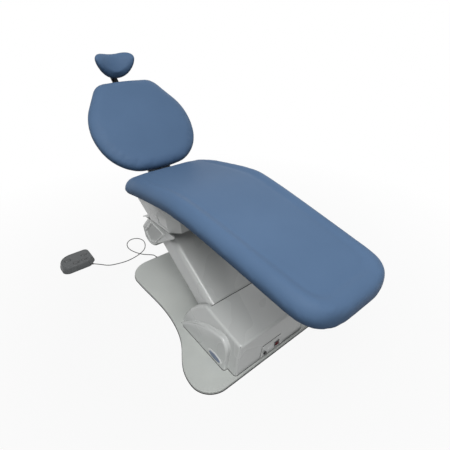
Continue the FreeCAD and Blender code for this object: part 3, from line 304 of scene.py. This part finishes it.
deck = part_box("base_plate")[1][2]
foot_line = [(0.238, -0.080, 0), (0.243, -0.110, 0.01), (0.243, -0.438, 0.012), (0.222, -0.438, 0.004),
             (0.222, -0.492, 0.014), (-0.222, -0.492, 0.014), (-0.222, -0.438, 0.004), (-0.243, -0.438, 0.012),
             (-0.243, -0.110, 0.01), (-0.238, -0.080, 0)]
seal_radius, seal_rise = 0.0016, 0.0007
bead("housing_seal", "base", [(*spot, deck + seal_rise) for spot in rounded_run(foot_line)],
     seal_radius, rubber)
wiper_half, wiper_y, wiper_z, wiper_radius = 0.166, -0.2494, 0.2238, 0.0019
bead("arm_wiper", "base", [(-wiper_half, wiper_y, wiper_z), (wiper_half, wiper_y, wiper_z)],
     wiper_radius, rubber)

# Rubber lip: the gasket's rolled edge, moulded in one with the sheet and gripped under the plate.
# It is seen as a dark line all round the plate's foot, so it follows the outline of the plate's lower face.
plate_form = bmesh.new()
plate_form.from_mesh(nodes["base_plate"].data)
bmesh.ops.remove_doubles(plate_form, verts=plate_form.verts, dist=1e-5)
under = min(corner.co.z for corner in plate_form.verts) + 1e-4
border = {edge for edge in plate_form.edges if all(corner.co.z < under for corner in edge.verts)
          and any(face.normal.z > -0.95 for face in edge.link_faces)}
start = max((edge.verts[0] for edge in border), key=lambda corner: corner.co.y)
lip_line, ahead = [], [start]
while ahead:
    lip_line += ahead[:1]
    onward = [edge.other_vert(lip_line[-1]) for edge in lip_line[-1].link_edges if edge in border]
    ahead = [corner for corner in onward if corner not in lip_line]
lip_height, lip_radius = 0.0026, 0.0024
bead("gasket_lip", "base", [(corner.co.x, corner.co.y, lip_height) for corner in lip_line],
     lip_radius, rubber, True)
plate_form.free()

# Oval plate on the right fender: thin disc of white plastic with a plain field in blue-grey paint.
# It is bare, slightly domed and glued to the drafted wall.
white_gloss = finish("white_gloss", coat_peel, dark=(0.66, 0.67, 0.66), light=(0.74, 0.75, 0.74),
                     rough=(0.16, 0.24), bump=0.04)
pale_enamel = finish("pale_enamel", coat_peel, dark=(0.16, 0.20, 0.29), light=(0.20, 0.24, 0.33),
                     rough=(0.18, 0.26), bump=0.04)
oval_y, oval_z, oval_steps = -0.366, 0.045, 40
fender_foot, draft = -0.243, math.atan2(0.020, 0.162)
for name, slot, coat, long, high, base in (("fender_plate", "white_plastic", white_gloss, 0.052, 0.0215, 0.0002),
                                           ("fender_field", "grey_paint", pale_enamel, 0.040, 0.0135, -0.0012)):
    oval = bmesh.new()
    rings = []
    for share, lift in ((1.0, 0.0), (1.0, 0.0012), (0.95, 0.0017), (0.5, 0.0018)):
        ring = []
        for step in range(oval_steps):
            angle = 2 * math.pi * step / oval_steps
            up = high * share * math.sin(angle) * math.cos(draft)
            x = fender_foot + (oval_z - deck + up) * math.tan(draft) - lift + base
            ring.append(oval.verts.new((x, oval_y - long * share * math.cos(angle), oval_z + up)))
        rings.append(ring)
    for lower, upper in zip(rings, rings[1:]):
        for step in range(oval_steps):
            after = (step + 1) % oval_steps
            oval.faces.new((lower[step], lower[after], upper[after], upper[step]))
    oval.faces.new(rings[-1])
    oval.faces.new(list(reversed(rings[0])))
    bmesh.ops.recalc_face_normals(oval, faces=oval.faces)
    oval_mesh = bpy.data.meshes.new(name)
    oval.to_mesh(oval_mesh)
    oval.free()
    piece(name, "base", oval_mesh, coat)

# Switch panel: moulded trapezoid let into the housing's front, held by four small socket screws.
# It carries a black bayonet fuse holder, a plain white cap and a dark red rocker in a black frame.
dress(cover_plastic, "front_panel")
dress(white_gloss, "panel_cap")
black_gloss = finish("black_gloss", mould_grain, dark=(0.010, 0.010, 0.011), light=(0.022, 0.022, 0.024),
                     rough=(0.24, 0.36), bump=0.08, values=[("Grain", 1800.0), ("Patch", 30.0)])
dress(black_gloss, "fuse_holder", "fuse_cap", "rocker_frame")
rocker_red = finish("rocker_red", mould_grain, dark=(0.070, 0.002, 0.007), light=(0.100, 0.004, 0.011),
                    rough=(0.4, 0.5), bump=0.05, values=[("Grain", 2200.0), ("Patch", 40.0)])
constant(rocker_red, Specular_IOR_Level=0.1)
dress(rocker_red, "power_rocker")

brushed, entry, leave = pattern_group("brushed", [("Across", 1400.0), ("Along", 40.0)], ["Height", "Tone"])
where = brushed.nodes.new("ShaderNodeTexCoord").outputs["Object"]
weights = brushed.nodes.new("ShaderNodeCombineXYZ")
for axis, label in (("X", "Across"), ("Y", "Along"), ("Z", "Along")):
    brushed.links.new(entry.outputs[label], weights.inputs[axis])
drawn = brushed.nodes.new("ShaderNodeVectorMath")
drawn.operation = "MULTIPLY"
brushed.links.new(where, drawn.inputs[0])
brushed.links.new(weights.outputs[0], drawn.inputs[1])
lines = noise(brushed, drawn.outputs[0], 1.0, 3.0)
brushed.links.new(lines, leave.inputs["Height"])
brushed.links.new(stretch(brushed, lines, 0.3, 0.7), leave.inputs["Tone"])
bright_steel = finish("bright_steel", brushed, dark=(0.46, 0.46, 0.465), light=(0.60, 0.60, 0.60),
                      rough=(0.24, 0.38), bump=0.10)
constant(bright_steel, Metallic=1.0)



def maker_tree(name, measures):
    """Geometry node tree with points, named measures and a finish as inputs; returns it and its input node."""
    tree = bpy.data.node_groups.new(name, "GeometryNodeTree")
    tree.interface.new_socket("Geometry", in_out="INPUT", socket_type="NodeSocketGeometry")
    for label in measures:
        tree.interface.new_socket(label, in_out="INPUT", socket_type="NodeSocketFloat")
    tree.interface.new_socket("Finish", in_out="INPUT", socket_type="NodeSocketMaterial")
    tree.interface.new_socket("Geometry", in_out="OUTPUT", socket_type="NodeSocketGeometry")
    return tree, tree.nodes.new("NodeGroupInput")


def set_on_points(tree, entry, form, rotation=None):
    """End of a maker tree: its form on every point, made real and given the finish."""
    spread = tree.nodes.new("GeometryNodeInstanceOnPoints")
    tree.links.new(entry.outputs["Geometry"], spread.inputs["Points"])
    tree.links.new(form, spread.inputs["Instance"])
    if rotation:
        tree.links.new(rotation, spread.inputs["Rotation"])
    real = tree.nodes.new("GeometryNodeRealizeInstances")
    tree.links.new(spread.outputs["Instances"], real.inputs["Geometry"])
    paint = tree.nodes.new("GeometryNodeSetMaterial")
    tree.links.new(real.outputs["Geometry"], paint.inputs["Geometry"])
    tree.links.new(entry.outputs["Finish"], paint.inputs["Material"])
    leave = tree.nodes.new("NodeGroupOutput")
    tree.links.new(paint.outputs["Geometry"], leave.inputs["Geometry"])


screw_heads, entry = maker_tree("screw_heads", ("Radius", "Height"))
drum = screw_heads.nodes.new("GeometryNodeMeshCylinder")
drum.inputs["Vertices"].default_value = 16
screw_heads.links.new(entry.outputs["Radius"], drum.inputs["Radius"])
screw_heads.links.new(entry.outputs["Height"], drum.inputs["Depth"])
form = drum.outputs["Mesh"]
top = drum.outputs["Top"]
for rise, size in ((0.35, 0.80), (0.0, 0.62), (-0.6, 0.96)):
    pull = screw_heads.nodes.new("GeometryNodeExtrudeMesh")
    screw_heads.links.new(form, pull.inputs["Mesh"])
    screw_heads.links.new(top, pull.inputs["Selection"])
    screw_heads.links.new(math_node(screw_heads, "MULTIPLY", entry.outputs["Height"], rise),
                          pull.inputs["Offset Scale"])
    draw_in = screw_heads.nodes.new("GeometryNodeScaleElements")
    screw_heads.links.new(pull.outputs["Mesh"], draw_in.inputs["Geometry"])
    screw_heads.links.new(pull.outputs["Top"], draw_in.inputs["Selection"])
    draw_in.inputs["Scale"].default_value = size
    form = draw_in.outputs["Geometry"]
    top = pull.outputs["Top"]
facing = screw_heads.nodes.new("GeometryNodeInputNamedAttribute")
facing.data_type = "FLOAT_VECTOR"
facing.inputs["Name"].default_value = "facing"
aim = screw_heads.nodes.new("FunctionNodeAlignRotationToVector")
aim.axis = "Z"
screw_heads.links.new(facing.outputs["Attribute"], aim.inputs["Vector"])
set_on_points(screw_heads, entry, form, aim.outputs["Rotation"])


def grown(name, spots, maker_tree, given, way=(0, 0, 1)):
    """Plain mesh that a node tree makes on points, with its named inputs and the way that the points face."""
    mesh = bpy.data.meshes.new(name + "_places")
    mesh.from_pydata(spots, [], [])
    facing = mesh.attributes.new("facing", "FLOAT_VECTOR", "POINT")
    for item in facing.data:
        item.vector = way
    holder = bpy.data.objects.new(name + "_places", mesh)
    scene.collection.objects.link(holder)
    maker = holder.modifiers.new(name, "NODES")
    maker.node_group = maker_tree
    for socket in maker_tree.interface.items_tree:
        if socket.in_out == "INPUT" and socket.name in given:
            maker[socket.identifier] = given[socket.name]
    result = bpy.data.meshes.new_from_object(holder.evaluated_get(bpy.context.evaluated_depsgraph_get()))
    holder.modifiers.clear()
    bpy.data.objects.remove(holder)
    return result


def screws(name, body, spots, way, radius, height, material):
    """Row of socket screw heads at the given places, all facing one way."""
    given = {"Radius": radius, "Height": height, "Finish": material}
    return piece(name, body, grown(name, spots, screw_heads, given, way), material)


panel_low, panel_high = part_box("front_panel")
panel_face = panel_low[1]
panel_edge = [(panel_low[0], panel_low[2], 0.004), (panel_high[0], panel_low[2], 0.004),
              (0.061, panel_high[2], 0.004), (-0.061, panel_high[2], 0.004)]
bead("panel_seal", "base", [(x, panel_face + 0.0016, z) for x, z in rounded_run(panel_edge, True)],
     radius=0.0011, material=rubber, closed=True)
screws("panel_screws", "base",
       [(-0.064, panel_face, 0.028), (0.064, panel_face, 0.028), (-0.055, panel_face, 0.086),
        (0.055, panel_face, 0.086)], way=(0, -1, 0), radius=0.0028, height=0.0014, material=bright_steel)

# Lift works inside the covers: welded frames in dark grey paint, ground steel pins, screws and rods,
# turned brass bushes, cast alloy gearboxes and a painted sheet steel control box.
frame_paint = finish("frame_paint", coat_peel, dark=(0.055, 0.057, 0.062), light=(0.085, 0.087, 0.092),
                     rough=(0.38, 0.52), bump=0.22, values=[("Grain", 700.0), ("Patch", 8.0)])
dress(frame_paint, "pivot_bracket_left", "pivot_bracket_right", "tie_anchor", "control_box", "arm_frame",
      "seat_frame", "headrest_plate")
dress(bright_steel, "lower_arm_pin", "lower_tie_pin", "horn_pin", "tie_rod", "lift_screw", "upper_arm_pin",
      "upper_tie_pin", "back_hinge_pin", "back_screw", "lever_pin", "headrest_pin")
bush_brass = finish("bush_brass", brushed, dark=(0.50, 0.36, 0.15), light=(0.66, 0.50, 0.24),
                    rough=(0.26, 0.42), bump=0.10)
constant(bush_brass, Metallic=1.0)
dress(bush_brass, "arm_bushes")
cast_alloy = finish("cast_alloy", mould_grain, dark=(0.44, 0.44, 0.45), light=(0.56, 0.56, 0.57),
                    rough=(0.42, 0.58), bump=0.45, values=[("Grain", 420.0), ("Patch", 16.0)])
constant(cast_alloy, Metallic=1.0)
dress(cast_alloy, "lift_gearmotor", "back_gearmotor")

# Covers of the arm and of the joint under the seat: light grey mouldings like the housing.
# Each clips over the frame; the arm's rear panel is held by four screws.
dress(cover_plastic, "arm_cover", "arm_back_cover", "upper_shell", "knuckle_shell")
arm_lean = math.radians(33.1)
arm_pivot = Vector((0, -0.302, 0.100))
along_arm = Vector((0, math.cos(arm_lean), math.sin(arm_lean)))
off_arm = Vector((0, -math.sin(arm_lean), math.cos(arm_lean)))
panel_corners = [arm_pivot + Vector((x, 0, 0)) + along_arm * along - off_arm * 0.069
                 for along in (0.22, 0.54) for x in (-0.10, 0.10)]
screws("arm_panel_screws", "lift_arm", panel_corners, tuple(-off_arm),
       radius=0.0042, height=0.002, material=bright_steel)

# Joint covers' trim: a raised ridge round each side panel of the lower cover and a dark rubber strip
# in the gap under the upper one, both pressed into the mouldings.
panel_ridge = [(0.101, 0.4555, 0.006), (0.2205, 0.4675, 0.008), (0.3065, 0.3805, 0.008), (0.2675, 0.3295, 0.008),
               (0.2005, 0.356, 0.008)]
ridge_x, ridge_radius, strip_x, strip_radius = 0.1935, 0.0038, 0.1913, 0.0013
for side, sign in (("left", 1), ("right", -1)):
    ridge_line = [(sign * ridge_x, *spot) for spot in rounded_run(panel_ridge, True)]
    bead("panel_ridge_" + side, "seat", ridge_line, ridge_radius, cover_plastic, True)
    strip_line = [(sign * strip_x, 0.006, 0.4924), (sign * strip_x, 0.262, 0.4787)]
    bead("parting_strip_" + side, "seat", strip_line, strip_radius, rubber)

# Seat board: black grained moulding, bent at the knee, under the long cushion.
# It lies on the frame's rails and is bolted to them from below.
board_plastic = finish("board_plastic", mould_grain, dark=(0.020, 0.020, 0.022), light=(0.036, 0.036, 0.039),
                       rough=(0.46, 0.6), bump=0.5, values=[("Grain", 650.0), ("Patch", 9.0)])
dress(board_plastic, "seat_board", "back_shell", "headrest_shell", "headrest_guide")


def under_rail(x, y):
    """Place and facing of the rail's lower face below the board."""
    hit, place, facing, face = nodes["seat_frame"].ray_cast(Vector((x, y, 0.2)), Vector((0, 0, 1)))
    return place, facing


for part, places in (("leg", (-0.54, -0.33, -0.20)), ("pan", (0.02, 0.10))):
    bolts = [under_rail(x, y) for y in places for x in (-0.094, 0.094)]
    screws(part + "_board_bolts", "seat", [place for place, facing in bolts], tuple(bolts[0][1]),
           radius=0.006, height=0.004, material=bright_steel)

# Seat cushion: foam on the board under one piece of steel-blue vinyl, pulled round the edges.
# Raised soft border round a shallow dish; satin, with a fine hide grain and painted shade that darkens the faces
# turning sideways and down. No seam shows on top.
vinyl_grain_and_shade, entry, leave = pattern_group("vinyl_grain_and_shade", [("Grain", 620.0), ("Patch", 3.0)], ["Height", "Tone"])
where = vinyl_grain_and_shade.nodes.new("ShaderNodeTexCoord").outputs["Object"]
cells = vinyl_grain_and_shade.nodes.new("ShaderNodeTexVoronoi")
cells.feature = "DISTANCE_TO_EDGE"
vinyl_grain_and_shade.links.new(where, cells.inputs["Vector"])
vinyl_grain_and_shade.links.new(entry.outputs["Grain"], cells.inputs["Scale"])
creases = stretch(vinyl_grain_and_shade, cells.outputs["Distance"], 0.0, 0.16)
soft = noise(vinyl_grain_and_shade, where, entry.outputs["Grain"], 2.0)
vinyl_grain_and_shade.links.new(math_node(vinyl_grain_and_shade, "MULTIPLY_ADD", soft, creases), leave.inputs["Height"])
cloud = noise(vinyl_grain_and_shade, where, entry.outputs["Patch"], 6.0)
worn = math_node(vinyl_grain_and_shade, "MULTIPLY", stretch(vinyl_grain_and_shade, cloud, 0.3, 0.7), 0.2)
# Painted shade: the tone falls towards the dark colour as the surface's normal turns from up to sideways and down.
tilt = vinyl_grain_and_shade.nodes.new("ShaderNodeSeparateXYZ")
vinyl_grain_and_shade.links.new(vinyl_grain_and_shade.nodes.new("ShaderNodeTexCoord").outputs["Normal"], tilt.inputs[0])
painted_shade_by_facing = stretch(vinyl_grain_and_shade, tilt.outputs["Z"], -0.3, 0.3)
vinyl_grain_and_shade.links.new(math_node(vinyl_grain_and_shade, "MULTIPLY", painted_shade_by_facing, math_node(vinyl_grain_and_shade, "ADD", worn, 0.8)),
                     leave.inputs["Tone"])
# The dark colour is the painted shade of the pads' sides and undersides; the light one is their tops, varied by the
# clouds.
blue_vinyl = finish("blue_vinyl", vinyl_grain_and_shade, dark=(0.046, 0.086, 0.154), light=(0.092, 0.156, 0.264),
                    rough=(0.60, 0.50), bump=0.16)
constant(blue_vinyl, Specular_IOR_Level=0.08)


def relax(form, turns):
    """Smooth all points of a form, some turns over."""
    for turn in range(turns):
        bmesh.ops.smooth_vert(form, verts=form.verts, factor=0.5, use_axis_x=True, use_axis_y=True, use_axis_z=True)


def cushion(name, node, body, voxel, cap, rear, regain):
    """Swollen pad in place of a CAD cushion: remeshed, inflated as cloth over its held rear, then smoothed.

    The smoothing draws the pad in, so its points go out along their normals by the regain afterwards."""
    swell_frames, rear_facing = 20, 0.7
    mesh = nodes[node].data.copy()
    form = bmesh.new()
    form.from_mesh(mesh)
    bmesh.ops.remove_doubles(form, verts=form.verts, dist=1e-5)
    form.to_mesh(mesh)
    form.free()
    pad = bpy.data.objects.new(name, mesh)
    scene.collection.objects.link(pad)
    grid = pad.modifiers.new("grid", "REMESH")
    grid.mode = "VOXEL"
    grid.voxel_size = voxel
    ease = pad.modifiers.new("ease", "SMOOTH")
    ease.factor = 0.5
    ease.iterations = 12
    pad.data = bpy.data.meshes.new_from_object(pad.evaluated_get(bpy.context.evaluated_depsgraph_get()))
    pad.modifiers.clear()
    held = pad.vertex_groups.new(name="held")
    held.add([v.index for v in pad.data.vertices if v.normal.dot(Vector(rear)) > rear_facing], 1.0, "REPLACE")
    rest = [v.co.copy() for v in pad.data.vertices]
    cloth = pad.modifiers.new("cloth", "CLOTH")
    cloth.settings.use_pressure = True
    cloth.settings.uniform_pressure_force = 4.0
    cloth.settings.effector_weights.gravity = 0.0
    cloth.settings.vertex_group_mass = "held"
    cloth.settings.quality = 4
    cloth.point_cache.frame_end = swell_frames
    for step in range(1, swell_frames + 1):
        scene.frame_set(step)
    swollen = bpy.data.meshes.new_from_object(pad.evaluated_get(bpy.context.evaluated_depsgraph_get()))
    pad.modifiers.clear()
    pad.vertex_groups.clear()
    for vertex, start, moved in zip(pad.data.vertices, rest, swollen.vertices):
        shift = moved.co - start
        vertex.co = start + shift * min(1.0, cap / max(shift.length, 1e-9))
    scene.frame_set(1)
    form = bmesh.new()
    form.from_mesh(pad.data)
    relax(form, 4)
    form.normal_update()
    outward = [point.normal.copy() for point in form.verts]
    for point, way in zip(form.verts, outward):
        if way.dot(Vector(rear)) < rear_facing:
            point.co += way * regain
    relax(form, 2)
    form.to_mesh(pad.data)
    form.free()
    pad.data.name = name
    pad.data.materials.clear()
    pad.data.materials.append(blue_vinyl)
    pad.data.shade_smooth()
    finer = pad.modifiers.new("finer", "SUBSURF")
    finer.levels = 1
    finer.render_levels = 1
    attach(pad, body)
    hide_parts(node)
    return pad


seat_pad = cushion("seat_pad", "seat_cushion", "seat", voxel=0.008, cap=0.004, rear=(0, 0, -1),
                   regain=0.004)


def ease_in(value, start, length):
    """Rise from 0 to 1 over a length."""
    return min(1.0, max(0.0, (value - start) / length))


def swell(value, centre, width):
    """Round hump of height 1."""
    return math.exp(-((value - centre) / width) ** 2)


# The cover is drawn down at the rear corners, and a soft crease runs inside the border.
corner_drop, under_drop, border_band, crest_rise, crease_depth = 0.016, 0.004, 0.16, 0.002, 0.003
seat_half, seat_taper, taper_y, foot_y = 0.260, 0.058, -0.100, -0.845
facing_up = [point.normal.z > -0.2 for point in seat_pad.data.vertices]
for point, upper in zip(seat_pad.data.vertices, facing_up):
    x, y = abs(point.co.x), point.co.y
    out = ease_in(x, 0.12, 0.14)
    rear = ease_in(y, 0.20, 0.17)
    fold = (out * out * (3 - 2 * out)) * (rear * rear * (3 - 2 * rear))
    point.co.z -= fold * (corner_drop if upper else under_drop)
    by_side = max(0.0, border_band - (seat_half - seat_taper * max(0.0, taper_y - y)) + x)
    by_foot = max(0.0, border_band + foot_y - y)
    inward = border_band - (by_side ** 3 + by_foot ** 3) ** (1 / 3)
    roll = crest_rise * swell(inward, 0.042, 0.016) - crease_depth * swell(inward, 0.074, 0.015)
    point.co.z += roll * (1 - rear) if upper else 0.0

# Backrest: shield-shaped pad like the seat's on a black moulded shell, carried by a steel strap in grey paint.
# The strap turns on the hinge under the seat and is bolted up the shell's rear.
strap_coat = finish("strap_coat", coat_peel, dark=(0.68, 0.69, 0.68), light=(0.74, 0.75, 0.74),
                    rough=(0.24, 0.32), bump=0.12, values=[("Grain", 1100.0), ("Patch", 10.0)])
dress(strap_coat, "back_bracket")

back_lean = math.radians(46.0)
back_foot = Vector((0, 0.4278, 0.6307))
up_back = Vector((0, math.cos(back_lean), math.sin(back_lean)))
off_back = Vector((0, -math.sin(back_lean), math.cos(back_lean)))
cushion("back_pad", "back_cushion", "backrest", voxel=0.006, cap=0.004, rear=tuple(-off_back),
        regain=0.003)


def on_back(x, s, t):
    """Place measured across the backrest, up its plane and out from it."""
    return tuple(back_foot + Vector((x, 0, 0)) + up_back * s + off_back * t)


screws("strap_bolts", "backrest",
       [on_back(x, s, -0.012) for s in (0.10, 0.17, 0.24, 0.28) for x in (-0.045, 0.045)],
       tuple(-off_back), radius=0.008, height=0.004, material=bright_steel)
screws("guide_screws", "backrest",
       [on_back(x, s, -0.016) for s in (0.352, 0.46) for x in (-0.037, 0.037)],
       tuple(-off_back), radius=0.0035, height=0.002, material=bright_steel)

# Headrest: curved pad with two wings on a black shell, hinged on a cranked flat steel bar.
# The bar slides in a guide behind the backrest; a black lever on the pin locks the tilt.
bar_steel = finish("bar_steel", brushed, dark=(0.10, 0.10, 0.105), light=(0.16, 0.16, 0.165),
                   rough=(0.34, 0.48), bump=0.10)
constant(bar_steel, Metallic=1.0)
dress(bar_steel, "headrest_bar")
dress(black_gloss, "headrest_lever")
cushion("head_pad", "headrest_cushion", "headrest", voxel=0.004, cap=0.003, rear=(0, 0.93, -0.368),
        regain=0.002)

# Foot control: dark grey moulded case in two halves on a rubber sole, with four oval buttons.
# Each button stands in a low moulded rim, and a bead runs round the top.
case_plastic = finish("case_plastic", mould_grain, dark=(0.070, 0.075, 0.077), light=(0.095, 0.100, 0.103),
                      rough=(0.40, 0.52), bump=0.35, values=[("Grain", 800.0), ("Patch", 12.0)])
dress(case_plastic, "pedal_base", "pedal_cover")
dress(rubber, "pedal_sole", "pedal_relief")
button_plastic = finish("button_plastic", mould_grain, dark=(0.050, 0.053, 0.055), light=(0.068, 0.071, 0.073),
                        rough=(0.32, 0.42), bump=0.2, values=[("Grain", 1100.0), ("Patch", 25.0)])
pedal_buttons = ("pedal_button_seat_up", "pedal_button_seat_down", "pedal_button_back_up", "pedal_button_back_down")
dress(button_plastic, *pedal_buttons)

button_rims, entry = maker_tree("button_rims", ("Length", "Width", "Thickness"))
frame_line = button_rims.nodes.new("GeometryNodeCurvePrimitiveQuadrilateral")
button_rims.links.new(entry.outputs["Length"], frame_line.inputs["Width"])
button_rims.links.new(entry.outputs["Width"], frame_line.inputs["Height"])
soften = button_rims.nodes.new("GeometryNodeFilletCurve")
soften.mode = "POLY"
soften.inputs["Count"].default_value = 8
button_rims.links.new(frame_line.outputs["Curve"], soften.inputs["Curve"])
button_rims.links.new(math_node(button_rims, "MULTIPLY", entry.outputs["Width"], 0.495), soften.inputs["Radius"])
section = button_rims.nodes.new("GeometryNodeCurvePrimitiveCircle")
section.inputs["Resolution"].default_value = 10
button_rims.links.new(entry.outputs["Thickness"], section.inputs["Radius"])
sweep = button_rims.nodes.new("GeometryNodeCurveToMesh")
button_rims.links.new(soften.outputs["Curve"], sweep.inputs["Curve"])
button_rims.links.new(section.outputs["Curve"], sweep.inputs["Profile Curve"])
set_on_points(button_rims, entry, sweep.outputs["Mesh"])

case_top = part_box("pedal_cover")[1][2]
rim_length, rim_width, rim_radius = 0.0432, 0.0272, 0.0011
rim_places = []
for name in pedal_buttons:
    low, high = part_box(name)
    rim_places.append(((low[0] + high[0]) / 2, (low[1] + high[1]) / 2, case_top))
piece("button_rims", "base",
      grown("button_rims", rim_places, button_rims,
            {"Length": rim_length, "Width": rim_width, "Thickness": rim_radius, "Finish": case_plastic}), case_plastic)
top_line = [(-0.577, 0.715, 0.025), (-0.4373, 0.715, 0.007), (-0.405, 0.7488, 0.007), (-0.405, 0.843, 0.019),
            (-0.577, 0.843, 0.067)]
bead("case_bead", "base", [(*spot, case_top) for spot in rounded_run(top_line, True)],
     radius=0.001, material=case_plastic, closed=True)

# Lead of the foot control: thin round rubber cable from a gland in the plate's rear edge.
# It lies on the floor in one open loop, passes over itself and ends in the foot control's sleeve.
dress(black_gloss, "cord_gland")
lead_diameter = 0.0055
lead_route = [
    (-60, 514, 12), (-60, 537, 12), (-80, 568, 6), (-111, 602, 2.75), (-137, 647, 2.75),
    (-155, 698, 2.75), (-157, 749, 2.75), (-139, 796, 2.75), (-99, 824, 2.75), (-56, 811, 2.75),
    (-32, 771, 2.75), (-35, 721, 2.75), (-58, 674, 2.75), (-79, 646, 6), (-103, 624, 10.5),
    (-143, 606, 10.5), (-190, 600, 6), (-240, 603, 2.75), (-290, 615, 2.75), (-340, 632, 2.75),
    (-387.1, 684.9, 6), (-408.8, 705.7, 6),
]
lead_curve = bpy.data.curves.new("foot_control_lead", "CURVE")
lead_curve.dimensions = "3D"
line = lead_curve.splines.new("NURBS")
line.points.add(len(lead_route) - 1)
for point, spot in zip(line.points, lead_route):
    point.co = (*(value / 1000 for value in spot), 1)
line.order_u = 3
line.use_endpoint_u = True
line.resolution_u = 10
lead_curve.bevel_depth = lead_diameter / 2
lead_curve.bevel_resolution = 4
lead_curve.use_fill_caps = True
lead = bpy.data.objects.new("foot_control_lead", lead_curve)
scene.collection.objects.link(lead)
lead_rubber = finish("lead_rubber", coat_peel, dark=(0.018, 0.018, 0.019), light=(0.034, 0.034, 0.035),
                     rough=(0.44, 0.58), bump=0.15, values=[("Grain", 1600.0), ("Patch", 30.0)])
lead_curve.materials.append(lead_rubber)
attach(lead, "base")
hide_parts("pedal_cord")
